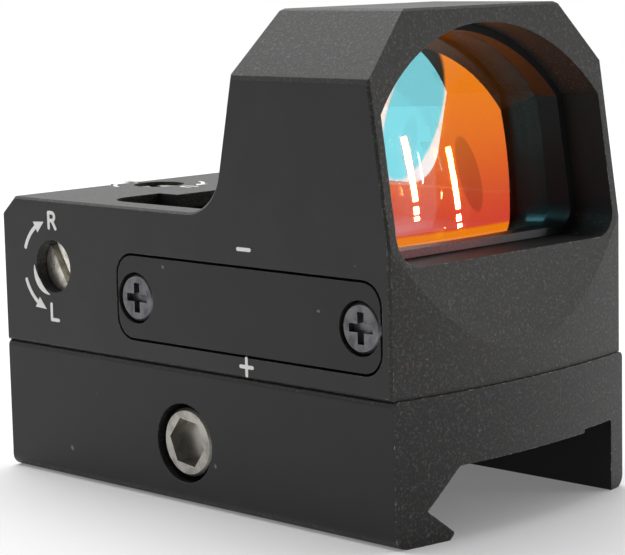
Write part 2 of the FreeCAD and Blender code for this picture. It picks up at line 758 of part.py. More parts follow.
def cut_bays(piece):
    """The battery bay, the emitter bay and the nose in front of it, all open underneath."""
    floor = S.mount_height
    carve(
        piece, "XY_Plane", floor, BATTERY_ROOF, rectangle,
        BATTERY_NEAR, BATTERY_FAR, BATTERY_FRONT, BATTERY_REAR,
    )
    carve(piece, "XY_Plane", floor, S.bay_roof, rectangle, BAY_NEAR, BAY_FAR, S.bay_front, BAY_REAR)
    nose_start = S.glass_front + S.glass_thickness - S.slide_gap
    carve(
        piece, "XY_Plane", S.trough_floor, S.bay_roof, rectangle,
        -S.nose_bay_half, S.nose_bay_half, nose_start, S.bay_front + MARGIN,
    )
    behind_boss = S.body_screw_rear + S.boss_radius + S.boss_gap
    carve(
        piece, "XY_Plane", floor, S.trough_floor + MARGIN, rectangle,
        -S.nose_bay_half, S.nose_bay_half, behind_boss, S.bay_front + MARGIN,
    )


def cut_underside(piece):
    """The cover's recess, the passage for the circuit board and the holes for screws and pins."""
    floor = S.mount_height
    carve(
        piece, "XY_Plane", floor, COVER_TOP, around_boss,
        -S.cover_half, S.cover_half, S.cover_front, S.cover_rear,
    )
    board_edge = S.board_half + S.boss_gap
    carve(
        piece, "XY_Plane", floor, S.board_room, around_boss,
        -board_edge, board_edge, BATTERY_REAR - MARGIN, S.board_rear + S.boss_gap,
    )
    hole = S.body_screw_radius + S.thread_gap
    carve(piece, "XY_Plane", floor, S.body_screw_top + MARGIN / 2, body_screw_holes, hole)
    carve(piece, "XY_Plane", floor, S.pin_top + S.thread_gap, pin_holes)
    carve(
        piece, "XY_Plane", floor, S.cover_screw_top + MARGIN / 2, cover_screw_holes,
        S.cover_screw_radius + S.thread_gap,
    )


def around_boss(sketch, left, right, front, rear):
    rectangle(sketch, left, right, front, rear)
    return circle(sketch, 0, S.body_screw_rear, S.boss_radius)


def body_screw_holes(sketch, radius):
    circle(sketch, 0, S.body_screw_front, radius)
    return circle(sketch, 0, S.body_screw_rear, radius)


def pin_holes(sketch):
    for side in (-1, 1):
        circle(sketch, side * S.pin_spread, S.body_screw_front, S.pin_radius + S.thread_gap)
    return sketch


def cover_screw_holes(sketch, radius):
    for side in (-1, 1):
        circle(sketch, side * S.cover_screw_spread, S.body_screw_rear, radius)
    return sketch


def cut_adjuster_holes(piece):
    """Stepped holes for both adjusting screws, the button's hole and the sighting notch."""
    place = (0, S.elevation_place)
    add(piece, "XY_Plane", ELEVATION_BOSS_END, S.bay_roof + MARGIN / 2, circle, *place, ELEVATION_BOSS)
    shoulder = ELEVATION_FACE - S.adjuster_head
    carve(piece, "XY_Plane", shoulder, S.deck_height, circle, *place, ADJUSTER_HOLE)
    neck = S.adjuster_thread + S.shaft_gap
    carve(piece, "XY_Plane", ELEVATION_BOSS_END - MARGIN / 2, shoulder + MARGIN / 2, circle, *place, neck)
    windage = (S.windage_place, S.windage_height)
    carve(piece, "YZ_Plane", -HALF, WINDAGE_FACE + S.adjuster_head, circle, *windage, ADJUSTER_HOLE)
    carve(piece, "YZ_Plane", WINDAGE_FACE, BAY_NEAR + MARGIN / 2, circle, *windage, neck)
    button = (S.button_place, S.button_height)
    carve(piece, "YZ_Plane", BAY_FAR - MARGIN / 2, HALF, circle, *button, S.button_radius + S.button_gap)
    edge = REAR - S.deck_chamfer_length
    half = S.notch_width / 2
    carve(
        piece, "XY_Plane", S.deck_height - S.notch_depth, S.deck_height, rectangle,
        -half, half, edge - S.notch_length / 2, edge + S.notch_length / 2,
    )


def cut_battery_door(piece):
    """The door's shallow recess, the opening that the tray slides through and the screw holes."""
    carve(
        piece, "YZ_Plane", -HALF, DOOR_SEAT, rounded,
        S.door_front, S.door_rear, S.door_bottom, S.door_top, S.door_corner,
    )
    carve(
        piece, "YZ_Plane", DOOR_SEAT - MARGIN / 2, BATTERY_NEAR + MARGIN / 2, rectangle,
        TRAY_FRONT - S.tray_clear, TRAY_REAR + S.tray_clear,
        TRAY_BOTTOM - S.tray_clear, CELL_TOP + S.tray_clear,
    )
    carve(
        piece, "YZ_Plane", DOOR_SEAT - MARGIN / 2, -S.door_screw_end + MARGIN / 2, door_screw_holes,
        S.door_screw_radius + S.thread_gap,
    )


def door_screw_holes(sketch, radius):
    circle(sketch, S.door_screw_front, S.door_screw_height, radius)
    return circle(sketch, S.door_screw_rear, S.door_screw_height, radius)


def bottom_cover():
    piece = body("bottom_cover")
    edge = S.cover_half - S.cover_gap
    add(
        piece, "XY_Plane", S.mount_height, S.mount_height + S.cover_thickness, rounded,
        -edge, edge, S.cover_front + S.cover_gap, S.cover_rear - S.cover_gap, S.cover_corner,
    )
    floor, top = S.mount_height, S.mount_height + S.cover_thickness
    carve(piece, "XY_Plane", floor, top, circle, 0, S.body_screw_rear, S.boss_radius + S.boss_gap)
    carve(piece, "XY_Plane", floor, top, cover_screw_holes, S.cover_head_radius + S.shaft_gap)
    return piece


def cover_gasket():
    piece = body("cover_gasket")
    floor = S.mount_height + S.cover_thickness
    edge = S.cover_half - S.cover_gap
    front, rear = S.cover_front + S.cover_gap, S.cover_rear - S.cover_gap
    width = S.gasket_width
    add(piece, "XY_Plane", floor, COVER_TOP, rounded, -edge, edge, front, rear, S.cover_corner)
    carve(
        piece, "XY_Plane", floor, COVER_TOP, rectangle,
        width - edge, edge - width, front + width, rear - width,
    )
    return piece


def headed_screw(place, bottom, head_radius, head_height, radius, top, socket, socket_depth):
    """A screw that points up, with a round head below and a hexagon socket."""
    x, y = place
    head = rod(head_radius, head_height, (x, y, bottom))
    shank = rod(radius, top - bottom, (x, y, bottom))
    key = doc.addObject("Part::Prism", "Socket")
    key.Polygon = 6
    bind(key, "Circumradius", socket)
    bind(key, "Height", socket_depth)
    return cut(join(head, shank), placed(key, (x, y, bottom), "Z"))


def cover_screws():
    screws = [
        headed_screw(
            (side * S.cover_screw_spread, S.body_screw_rear), S.mount_height, S.cover_head_radius,
            S.cover_thickness, S.cover_screw_radius, S.cover_screw_top,
            S.cover_screw_radius / 2, S.cover_thickness / 2,
        )
        for side in (-1, 1)
    ]
    return keep(group(*screws), "cover_screws")


# ---- rail mount ------------------------------------------------------------------------------

def mount_base():
    piece = body("mount_base")
    add(piece, "XY_Plane", 0, S.mount_height, plan, FRONT, MOUNT_REAR)
    round_mount_edges(piece)
    carve(piece, "XZ_Plane", FRONT - MARGIN, REAR + MARGIN, rail_channel)
    half_notch = S.jaw_length / 2 + S.jaw_gap
    carve(
        piece, "XZ_Plane", S.clamp_place - half_notch, S.clamp_place + half_notch, rectangle,
        S.jaw_back_half - S.jaw_gap, HALF + MARGIN, -MARGIN, S.jaw_top + S.jaw_gap,
    )
    bolt = (S.clamp_place, S.clamp_height)
    carve(piece, "YZ_Plane", -HALF - MARGIN, HALF, circle, *bolt, S.clamp_radius + S.clamp_hole_gap)
    recess = S.clamp_head_radius + S.clamp_head_gap
    carve(piece, "YZ_Plane", -HALF - MARGIN, CLAMP_SEAT, circle, *bolt, recess)
    top = S.mount_height
    carve(piece, "XY_Plane", 0, top, body_screw_holes, S.body_screw_radius + S.shaft_gap)
    seat = SCREW_HEAD_LOW + S.body_head_height
    carve(piece, "XY_Plane", 0, seat, body_screw_holes, S.body_head_radius + S.shaft_gap)
    carve(piece, "XY_Plane", S.pin_bottom, top, pin_holes)
    return piece


def round_mount_edges(piece):
    """Rounds the long edges above and below, then breaks the upright corners."""
    half, top = HALF.value, S.mount_height.value
    dress(
        piece, "PartDesign::Fillet", lambda point: near(abs(point.x), half) and near(point.z, top),
        "Radius", S.mount_top_round,
    )
    dress(
        piece, "PartDesign::Fillet", lambda point: near(abs(point.x), half) and near(point.z, 0),
        "Radius", S.mount_foot_round,
    )


def rail_channel(sketch):
    """Front view of the rail's dovetail: a fixed V jaw on one side, room for the clamp on the other."""
    wall = HALF - S.mount_wall
    relief = S.channel_height + S.seat_relief
    points = [
        (-S.lip_half - S.lip_bevel - MARGIN, -MARGIN),
        (-S.lip_half, S.lip_bevel),
        (-S.lip_half, S.lip_height),
        (-S.rail_half, S.rail_widest),
        (-S.rail_top_half, S.channel_height),
        (S.rail_top_half, S.channel_height),
        (S.rail_top_half, relief),
        (wall, relief),
        (wall, -MARGIN),
    ]
    return outline(sketch, points)


def clamp_jaw():
    piece = body("clamp_jaw")
    half = S.jaw_length / 2
    add(piece, "XZ_Plane", S.clamp_place - half, S.clamp_place + half, jaw_profile)
    bolt = (S.clamp_place, S.clamp_height)
    carve(piece, "YZ_Plane", 0, HALF + MARGIN, circle, *bolt, S.clamp_radius + S.thread_gap)
    return piece


def jaw_profile(sketch):
    """Front view of the clamp jaw: the V that grips the rail, and its root in the mount's notch."""
    points = [
        (S.lip_half, S.lip_bevel),
        (S.lip_half + S.lip_bevel, 0),
        (HALF - S.mount_foot_round, 0),
        (HALF, S.mount_foot_round),
        (HALF, S.jaw_top),
        (S.jaw_back_half, S.jaw_top),
        (S.jaw_back_half, S.channel_height - S.jaw_gap),
        (S.rail_top_half + S.jaw_gap, S.channel_height - S.jaw_gap),
        (S.rail_half, S.rail_widest),
        (S.lip_half, S.lip_height),
    ]
    return outline(sketch, points, {2: ("x", HALF - S.mount_foot_round)})


def clamp_bolt():
    piece = body("clamp_bolt")
    bolt = (S.clamp_place, S.clamp_height)
    face = S.clamp_head_recess - HALF
    add(piece, "YZ_Plane", face, CLAMP_SEAT, circle, *bolt, S.clamp_head_radius)
    add(piece, "YZ_Plane", CLAMP_SEAT, HALF - S.bolt_end_recess, circle, *bolt, S.clamp_radius)
    key = (S.clamp_socket, 6, S.clamp_socket_turn.value)
    carve(piece, "YZ_Plane", face, face + S.clamp_socket_depth, polygon, *bolt, *key)
    rim = (S.clamp_head_radius, S.clamp_place, S.clamp_height, face)
    dress(piece, "PartDesign::Chamfer", lambda point: on_rim(point, *rim), "Size", S.edge_break)
    return piece


def on_rim(point, radius, place, height, across):
    """Whether a point lies on a circle round an axis along X."""
    distance = math.hypot(point.y - place.value, point.z - height.value)
    return near(distance, radius) and near(point.x, across)


def body_screws():
    screws = [
        headed_screw(
            (0, place), SCREW_HEAD_LOW, S.body_head_radius, S.body_head_height,
            S.body_screw_radius, S.body_screw_top, S.body_socket, S.body_head_height / 2,
        )
        for place in (S.body_screw_front, S.body_screw_rear)
    ]
    return keep(group(*screws), "body_screws")


def locating_pins():
    length = S.pin_top - S.pin_bottom
    pins = [
        rod(S.pin_radius, length, (side * S.pin_spread, S.body_screw_front, S.pin_bottom)) for side in (-1, 1)
    ]
    return keep(group(*pins), "locating_pins")


# ---- lens ------------------------------------------------------------------------------------

def lens_sphere(behind, radius):
    """A sphere whose front is on the optical axis, this far behind the front of the lens."""
    place, height = on_face(S.lens_axis, S.lens_depth)
    reach = behind + radius
    return ball(radius, (0, place + reach * LEAN_COS, height - reach * LEAN_SIN))


def lens_blank(label, depth, back):
    """A plain slab with the lens's outline, before its surfaces are ground."""
    blank = doc.addObject("PartDesign::Body", label)
    through_window(blank, "PartDesign::Pad", S.lens_gap, depth, back)
    return blank


def lens_front_element():
    blank = lens_blank("FrontBlank", S.ring_depth, S.seat_depth)
    front = common(blank, lens_sphere(size(0), S.front_radius))
    element = cut(front, lens_sphere(S.front_element, S.mirror_radius))
    return keep(element, "lens_front_element")


def lens_rear_element():
    blank = lens_blank("RearBlank", S.ring_depth, S.seat_depth)
    front = common(blank, lens_sphere(S.front_element, S.mirror_radius))
    return keep(cut(front, lens_sphere(S.front_element + S.rear_element, S.rear_radius)), "lens_rear_element")


def window_frame(label, depth, back):
    """A frame that follows the window's outline, between two depths."""
    frame = doc.addObject("PartDesign::Body", label)
    through_window(frame, "PartDesign::Pad", S.lens_gap, depth, back)
    through_window(frame, "PartDesign::Pocket", S.lens_gap + S.ring_wall, depth - MARGIN, back)
    return frame


def lens_ring():
    frame = window_frame("RingBlank", S.ring_depth, S.ring_back)
    bedded = lens_sphere(-S.thread_gap, S.front_radius)
    return keep(cut(frame, bedded), "lens_ring")


def lens_gasket():
    return keep(window_frame("lens_gasket", S.seat_depth, SEAT_BACK), "lens_gasket")


# ---- battery ---------------------------------------------------------------------------------

def battery_door():
    piece = body("battery_door")
    gap = S.door_gap
    inner = S.door_thickness - HALF
    add(
        piece, "YZ_Plane", -HALF, inner, rounded,
        S.door_front + gap, S.door_rear - gap, S.door_bottom + gap, S.door_top - gap, S.door_corner - gap,
    )
    carve(piece, "YZ_Plane", -HALF, inner, door_screw_holes, S.door_screw_radius + S.shaft_gap)
    sunk = S.door_head_recess + S.door_head_height - HALF
    carve(piece, "YZ_Plane", -HALF, sunk, door_screw_holes, S.door_head_radius + S.door_head_gap)
    return piece


def door_gasket():
    piece = body("door_gasket")
    gap = S.door_gap
    outer = S.door_thickness - HALF
    add(
        piece, "YZ_Plane", outer, DOOR_SEAT, rounded,
        S.door_front + gap, S.door_rear - gap, S.door_bottom + gap, S.door_top - gap, S.door_corner - gap,
    )
    carve(
        piece, "YZ_Plane", outer, DOOR_SEAT, rectangle,
        TRAY_FRONT - S.slide_gap, TRAY_REAR + S.slide_gap,
        TRAY_BOTTOM - S.slide_gap, S.tray_top + S.slide_gap,
    )
    carve(piece, "YZ_Plane", outer, DOOR_SEAT, door_screw_holes, S.door_screw_radius + S.shaft_gap)
    return piece


def battery_tray():
    """The drawer: a floor with a round nest for the cell and a slot open at its inner end."""
    piece = body("battery_tray")
    nest = S.cell_radius + S.tray_gap
    inner_end = S.cell_across + nest + S.tray_wall / 2
    add(
        piece, "XY_Plane", TRAY_BOTTOM, S.tray_top, rectangle,
        S.door_thickness - HALF, inner_end, TRAY_FRONT, TRAY_REAR,
    )
    carve(piece, "XY_Plane", S.cell_bottom, S.tray_top, circle, S.cell_across, S.cell_place, nest)
    carve(
        piece, "XY_Plane", TRAY_BOTTOM, S.cell_bottom, rectangle,
        S.cell_across - 2 * S.tray_slot_half, inner_end + MARGIN,
        S.cell_place - S.tray_slot_half, S.cell_place + S.tray_slot_half,
    )
    return piece


def coin_cell():
    place = (S.cell_across, S.cell_place)
    can = rod(S.cell_radius, S.cell_thickness - S.cell_step, (*place, S.cell_bottom))
    cap = rod(S.cell_radius - S.cell_rim, S.cell_thickness, (*place, S.cell_bottom))
    return keep(join(can, cap), "coin_cell")


def door_screw(label, place):
    """A cross-recess pan screw that points inwards from the door."""
    piece = body(label)
    centre = (place, S.door_screw_height)
    face = S.door_head_recess - HALF
    seat = face + S.door_head_height
    add(piece, "YZ_Plane", face, seat, circle, *centre, S.door_head_radius)
    add(piece, "YZ_Plane", seat, -S.door_screw_end, circle, *centre, S.door_screw_radius)
    half, reach = S.cross_width / 2, S.cross_length / 2
    for wide, tall in ((half, reach), (reach, half)):
        carve(
            piece, "YZ_Plane", face, face + S.cross_depth, rectangle,
            place - wide, place + wide, S.door_screw_height - tall, S.door_screw_height + tall,
        )
    rim = (S.door_head_radius, place, S.door_screw_height, face)
    dress(piece, "PartDesign::Chamfer", lambda point: on_rim(point, *rim), "Size", S.edge_break)
    return piece


def positive_contact():
    """A bent strip on the circuit board that reaches up through the tray's slot to the can."""
    piece = body("positive_contact")
    half = S.contact_width / 2
    add(piece, "XZ_Plane", S.cell_place - half, S.cell_place + half, positive_strip)
    return piece


def positive_strip(sketch):
    thick = S.contact_thickness
    top = S.cell_bottom - S.contact_gap
    left = S.cell_across - S.contact_width
    right = S.cell_across + S.contact_width
    peak = S.cell_across
    points = [
        (left, BOARD_TOP), (right, BOARD_TOP), (right, BOARD_TOP + thick), (left + thick, BOARD_TOP + thick),
        (peak, top - thick), (peak + thick, top - thick), (peak + thick, top), (peak - thick, top),
        (left, BOARD_TOP + 2 * thick),
    ]
    return outline(sketch, points)


def negative_contact():
    """A strip from the circuit board up behind the tray and along the roof, bent down to the cell."""
    piece = body("negative_contact")
    half = S.contact_width / 2
    add(piece, "XZ_Plane", S.cell_place - half, S.cell_place + half, negative_strip)
    return piece


def negative_strip(sketch):
    thick = S.contact_thickness
    roof = BATTERY_ROOF
    outer = S.board_half
    reach = S.cell_across - S.contact_width
    touch = CELL_TOP + S.contact_gap
    points = [
        (outer - thick, BOARD_TOP), (outer, BOARD_TOP), (outer, roof), (S.cell_across, roof),
        (reach, touch + thick), (reach - thick, touch + thick),
        (reach - thick, touch), (reach + thick, touch),
        (S.cell_across + thick, roof - thick), (outer - thick, roof - thick),
    ]
    return outline(sketch, points)


def circuit_board():
    piece = body("circuit_board")
    low = S.board_height
    outline_of_board = (-S.board_half, S.board_half, S.board_front, S.board_rear)
    add(piece, "XY_Plane", low, BOARD_TOP, rectangle, *outline_of_board)
    carve(piece, "XY_Plane", low, BOARD_TOP, circle, 0, S.body_screw_rear, S.boss_radius + S.boss_gap)
    carve(piece, "XY_Plane", low, BOARD_TOP, cover_screw_holes, S.cover_screw_radius + S.boss_gap)
    return piece


# ---- adjusting mechanism ---------------------------------------------------------------------

def adjuster(label, plane, start, wall, end, centre, slot_turn):
    """An adjusting screw: slotted head with an O-ring groove, clip groove and thread.
    start is the slotted face, wall where the wall it turns in ends, and end the tip.
    The screw may run up or down the plane's axis."""
    piece = body(label)
    way = 1 if end.value > start.value else -1
    x, y = centre

    def stretch(begin, finish, radius):
        first, last = start + way * begin, start + way * finish
        low, high = (first, last) if way > 0 else (last, first)
        add(piece, plane, low, high, circle, x, y, radius)

    groove = S.adjuster_head - S.seal_groove - 2 * S.edge_break
    clip = way * (wall - start)
    stretch(0, groove, S.adjuster_radius)
    stretch(groove, groove + S.seal_groove, SEAL_FLOOR)
    stretch(groove + S.seal_groove, S.adjuster_head, S.adjuster_radius)
    stretch(S.adjuster_head, clip, S.adjuster_thread)
    stretch(clip, clip + CLIP_ROOM, S.adjuster_neck)
    stretch(clip + CLIP_ROOM, way * (end - start), S.adjuster_thread)
    depth = S.adjuster_slot_depth
    low, high = (start, start + depth) if way > 0 else (start - depth, start)
    carve(piece, plane, low, high, turned_slot, x, y, slot_turn)
    return piece


def turned_slot(sketch, x, y, degrees):
    """A long thin rectangle across the screw's head, turned about its middle."""
    angle = math.radians(degrees)
    along = (math.cos(angle), math.sin(angle))
    reach, half = S.adjuster_radius + MARGIN, S.adjuster_slot / 2
    points = []
    for first, second in ((-1, -1), (1, -1), (1, 1), (-1, 1)):
        points.append((
            x + first * along[0] * reach - second * along[1] * half,
            y + first * along[1] * reach + second * along[0] * half,
        ))
    return outline(sketch, points)


def windage_screw():
    return adjuster(
        "windage_screw", "YZ_Plane", WINDAGE_FACE, BAY_NEAR, -S.windage_tip,
        (S.windage_place, S.windage_height), S.windage_slot_turn.value,
    )


def elevation_screw():
    return adjuster(
        "elevation_screw", "XY_Plane", ELEVATION_FACE, ELEVATION_BOSS_END, S.elevation_tip,
        (0, S.elevation_place), S.elevation_slot_turn.value,
    )


def o_ring(label, plane, start, way, centre):
    """A ring of round rubber cord in the adjusting screw's groove."""
    ring = doc.addObject("Part::Torus", label)
    cord = (ADJUSTER_HOLE - SEAL_FLOOR) / 2 - S.slide_gap / 4
    bind(ring, "Radius1", (ADJUSTER_HOLE + SEAL_FLOOR) / 2)
    bind(ring, "Radius2", cord)
    along = start + way * (S.adjuster_head - S.seal_groove / 2 - 2 * S.edge_break)
    at = (along, *centre) if plane == "YZ_Plane" else (*centre, along)
    return keep(placed(ring, at, "X" if plane == "YZ_Plane" else "Z"), label)


def retaining_clip(label, plane, wall, way, centre):
    """A flat open clip in the groove behind the wall."""
    piece = body(label)
    near_side = wall + way * S.clip_gap
    far_side = near_side + way * S.clip_thickness
    low, high = (near_side, far_side) if way > 0 else (far_side, near_side)
    x, y = centre
    add(piece, plane, low, high, circle, x, y, S.clip_radius)
    inside = S.adjuster_neck + S.thread_gap
    carve(piece, plane, low, high, circle, x, y, inside)
    mouth = (x - S.clip_radius - MARGIN, x, y - S.clip_mouth, y + S.clip_mouth)
    carve(piece, plane, low, high, rectangle, *mouth)
    return piece


def cone(base, top, height, at, axis):
    """A cone frustum that starts at a point and runs along an axis."""
    item = doc.addObject("Part::Cone", "Cone")
    bind(item, "Radius1", base)
    bind(item, "Radius2", top)
    bind(item, "Height", height)
    return placed(item, at, axis)


def disc_springs(label, axis, start, end, centre):
    """A stack of four conical disc springs, each turned over on the one before."""
    count = 4
    rise = (end - start) / count
    slope = (S.disc_outer - S.disc_inner) / rise
    flat_rim = slope * S.disc_thickness
    discs = []
    for number in range(count):
        low = start + number * rise
        at = (low, *centre) if axis == "X" else (*centre, low)
        outside = (S.disc_outer, S.disc_inner + flat_rim)
        inside = (S.disc_outer - flat_rim, S.disc_inner)
        if number % 2:
            outside, inside = outside[::-1], inside[::-1]
        discs.append(cut(cone(*outside, rise, at, axis), cone(*inside, rise, at, axis)))
    return keep(group(*discs), label)


def windage_spring():
    return disc_springs(
        "windage_spring", "X", BAY_NEAR + CLIP_ROOM + S.disc_clear, -S.carriage_outer - S.disc_clear,
        (S.windage_place, S.windage_height),
    )


def elevation_spring():
    return disc_springs(
        "elevation_spring", "Z", S.nut_top + S.disc_clear, ELEVATION_BOSS_END - CLIP_ROOM - S.disc_clear,
        (0, S.elevation_place),
    )


def windage_carriage():
    """The block that the windage screw moves, with the upright rib that guides the emitter block."""
    nut = block(
        (-S.carriage_outer, S.carriage_front, S.carriage_bottom),
        (-S.carriage_inner, S.carriage_rear, S.carriage_top),
    )
    rib = block(
        (-S.carriage_inner - S.slide_gap, S.guide_front, S.carriage_bottom),
        (-S.block_half + S.guide_depth - S.slide_gap, S.guide_front + S.guide_width, S.carriage_top),
    )
    hole = rod(
        S.adjuster_thread + S.thread_gap, S.carriage_outer,
        (-S.carriage_outer - MARGIN, S.windage_place, S.windage_height), "X",
    )
    return keep(cut(join(nut, rib), hole), "windage_carriage")


def elevation_nut():
    """The nut that the elevation screw lifts, with a tongue that carries the emitter block."""
    nut = block((-S.nut_half, S.nut_front, S.nut_bottom), (S.nut_half, S.nut_rear, S.nut_top))
    tongue = block(
        (-S.tongue_half, S.tongue_front, S.tongue_bottom), (S.tongue_half, S.nut_front + MARGIN, S.tongue_top)
    )
    hole = rod(
        S.adjuster_thread + S.thread_gap, S.nut_top - S.nut_bottom + 2 * MARGIN,
        (0, S.elevation_place, S.nut_bottom - MARGIN),
    )
    return keep(cut(join(nut, tongue), hole), "elevation_nut")


def emitter_block():
    """Carries the emitter. The windage carriage moves it across, the elevation nut up and down."""
    solid = block(
        (-S.block_half, S.block_front, S.block_bottom), (S.block_half, BLOCK_REAR, S.block_top)
    )
    groove = block(
        (-S.block_half - MARGIN, S.guide_front - S.slide_gap, S.block_bottom - MARGIN),
        (-S.block_half + S.guide_depth, S.guide_front + S.guide_width + S.slide_gap, S.block_top + MARGIN),
    )
    slot = block(
        (-S.block_half - MARGIN, S.tongue_front - S.slide_gap, S.tongue_bottom - S.slide_gap),
        (S.block_half + MARGIN, BLOCK_REAR + MARGIN, S.tongue_top + S.slide_gap),
    )
    return keep(cut(cut(solid, groove), slot), "emitter_block")


def emitter_board():
    thickness = S.emitter_board_thickness
    board = block(
        (-S.emitter_board_half, S.block_front - thickness, S.emitter_board_bottom),
        (S.emitter_board_half, S.block_front, S.block_top),
    )
    return keep(board, "emitter_board")


def led_emitter():
    """A chip package with a small round lens on its front."""
    back = S.block_front - S.emitter_board_thickness
    front = back - S.led_thickness
    half = S.led_half
    package = block((-half, front, S.led_height - half / 2), (half, back, S.led_height + half / 2))
    return keep(join(package, ball(S.led_lens, (0, front, S.led_height))), "led_emitter")


def emitter_window():
    """The glass that seals the nose in front of the emitter."""
    gap = S.slide_gap
    glass = block(
        (gap - S.glass_half, S.glass_front, S.trough_floor + gap),
        (S.glass_half - gap, S.glass_front + S.glass_thickness - gap, S.glass_top - gap),
    )
    return keep(glass, "emitter_window")


# ---- power button ----------------------------------------------------------------------------

def power_button():
    piece = body("power_button")
    centre = (S.button_place, S.button_height)
    inner = BAY_FAR - S.button_travel - S.slide_gap
    flange = S.button_radius + S.button_flange
    add(piece, "YZ_Plane", inner - S.button_flange_thickness, inner, circle, *centre, flange)
    add(piece, "YZ_Plane", inner, HALF - S.button_sink, circle, *centre, S.button_radius)
    rim = (S.button_radius, S.button_place, S.button_height, HALF - S.button_sink)
    dress(piece, "PartDesign::Fillet", lambda point: on_rim(point, *rim), "Radius", 2 * S.edge_break)
    return piece


def button_switch():
    """The switch on the circuit board that the button presses."""
    half = S.switch_half
    outer = BAY_FAR - 2 * (S.button_travel + S.slide_gap) - S.button_flange_thickness
    case = block(
        (S.switch_inner, S.button_place - half, BOARD_TOP),
        (outer - S.button_travel, S.button_place + half, S.button_height + half),
    )
    plunger = rod(
        S.button_radius / 3, S.button_travel + MARGIN,
        (outer - S.button_travel - MARGIN, S.button_place, S.button_height), "X",
    )
    return keep(join(case, plunger), "button_switch")


def build():
    """Makes every piece of the sight."""
    centre = (S.windage_place, S.windage_height)
    rear = (0, S.elevation_place)
    for make in (
        mount_base, clamp_jaw, clamp_bolt, body_screws, locating_pins, upper_housing, bottom_cover,
        cover_gasket, cover_screws, lens_front_element, lens_rear_element, lens_ring, lens_gasket,
        battery_door, door_gasket, battery_tray, coin_cell, positive_contact, negative_contact,
        circuit_board, windage_screw, windage_carriage, windage_spring, elevation_screw, elevation_nut,
        elevation_spring, emitter_block, emitter_board, led_emitter, emitter_window, power_button,
        button_switch,
    ):
        make()
    door_screw("door_screw_front", S.door_screw_front)
    door_screw("door_screw_rear", S.door_screw_rear)
    o_ring("windage_o_ring", "YZ_Plane", WINDAGE_FACE, 1, centre)
    o_ring("elevation_o_ring", "XY_Plane", ELEVATION_FACE, -1, rear)
    retaining_clip("windage_retainer", "YZ_Plane", BAY_NEAR, 1, centre)
    retaining_clip("elevation_retainer", "XY_Plane", ELEVATION_BOSS_END, -1, rear)


def check():
    """Stops if any object failed, a cut removed nothing, or a piece isn't a sound solid."""
    for item in doc.Objects:
        if "Invalid" in item.State or "Error" in item.State:
            raise RuntimeError(f"{item.Name} failed: {item.State}")
        if item.TypeId == "PartDesign::Pocket" and item.BaseFeature.Shape.Volume - item.Shape.Volume < 1e-4:
            raise RuntimeError(f"{item.Name} in {item.getParentGeoFeatureGroup().Label} cuts nothing")
    for piece in PIECES:
        shape = piece.Shape
        if shape.isNull() or not shape.isValid() or not shape.Solids:
            raise RuntimeError(f"{piece.Label} is not a sound solid")


def write():
    os.makedirs("parts", exist_ok=True)
    for piece in PIECES:
        piece.Shape.exportStep(f"parts/{piece.Label}.step")
        print(piece.Label, len(piece.Shape.Solids), round(piece.Shape.Volume, 3))


build()
doc.recompute()
check()
write()
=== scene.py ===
import json
import math

import bmesh
import bpy
from mathutils import Matrix, Vector


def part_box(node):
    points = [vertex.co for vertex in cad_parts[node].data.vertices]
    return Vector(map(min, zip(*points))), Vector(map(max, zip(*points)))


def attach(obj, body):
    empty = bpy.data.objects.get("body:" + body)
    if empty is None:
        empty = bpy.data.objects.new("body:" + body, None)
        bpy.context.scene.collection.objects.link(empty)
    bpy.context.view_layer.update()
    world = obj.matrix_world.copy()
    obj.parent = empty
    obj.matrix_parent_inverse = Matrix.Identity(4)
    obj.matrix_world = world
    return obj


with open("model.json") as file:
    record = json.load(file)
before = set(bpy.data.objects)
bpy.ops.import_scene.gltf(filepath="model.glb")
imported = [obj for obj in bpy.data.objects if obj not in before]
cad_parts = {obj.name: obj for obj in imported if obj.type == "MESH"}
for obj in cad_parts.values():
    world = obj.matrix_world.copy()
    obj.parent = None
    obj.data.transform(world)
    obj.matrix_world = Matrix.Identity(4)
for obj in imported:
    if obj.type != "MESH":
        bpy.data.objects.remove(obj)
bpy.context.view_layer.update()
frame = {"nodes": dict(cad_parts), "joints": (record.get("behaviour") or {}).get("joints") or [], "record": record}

bl_info = {
    "name": "Reflex sight looks",
    "version": (1, 0),
    "blender": (4, 5, 0),
    "location": "3D View > Sidebar > Sight",
    "description": "Finishes, painted marks, threads and stage for an open reflex sight",
    "category": "Object",
}

MM = 0.001
NODES = frame["nodes"]
JOINTS = {joint["name"]: joint for joint in frame["joints"]}
BODY_OF = {
    node: name for name, nodes in frame["record"]["behaviour"]["bodies"].items() for node in nodes
}
WINDAGE = Vector(JOINTS["windage_turn"]["pos_m"])
ELEVATION = Vector(JOINTS["elevation_turn"]["pos_m"])
CLAMP = Vector(JOINTS["clamp_bolt_turn"]["pos_m"])
DOOR_LOW, DOOR_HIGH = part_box("battery_door")
HOUSING_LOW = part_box("upper_housing")[0]
MOUNT_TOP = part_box("mount_base")[1].z
LENS_LOW, LENS_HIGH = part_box("lens_front_element")
RING_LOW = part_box("lens_ring")[0]
BOARD_LOW, BOARD_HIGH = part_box("circuit_board")

# Where the optical axis meets the coated face, and the point of the glass that the lamps are aimed at.
COATED_MIDDLE = Vector((0, LENS_LOW.y, 28.0 * MM))
GLASS_MIDDLE = Vector((0, -16.5 * MM, 26.0 * MM))
SIGHT_MIDDLE = Vector((0, 0, 20.0 * MM))

# Sizes of the grain in the finishes, and how deep the blasting goes.
CLOUD_SIZE = 4 * MM
DUST_SPACING = 1.1 * MM
KNOCK_SIZE = 0.5 * MM
BLAST_DEPTH = 0.035 * MM
BRUSH_SIZE = 0.08 * MM
BRUSH_DEPTH = 0.004 * MM
GRIME_SIZE = 0.9 * MM
PAINT_WEAR_SIZE = 0.35 * MM

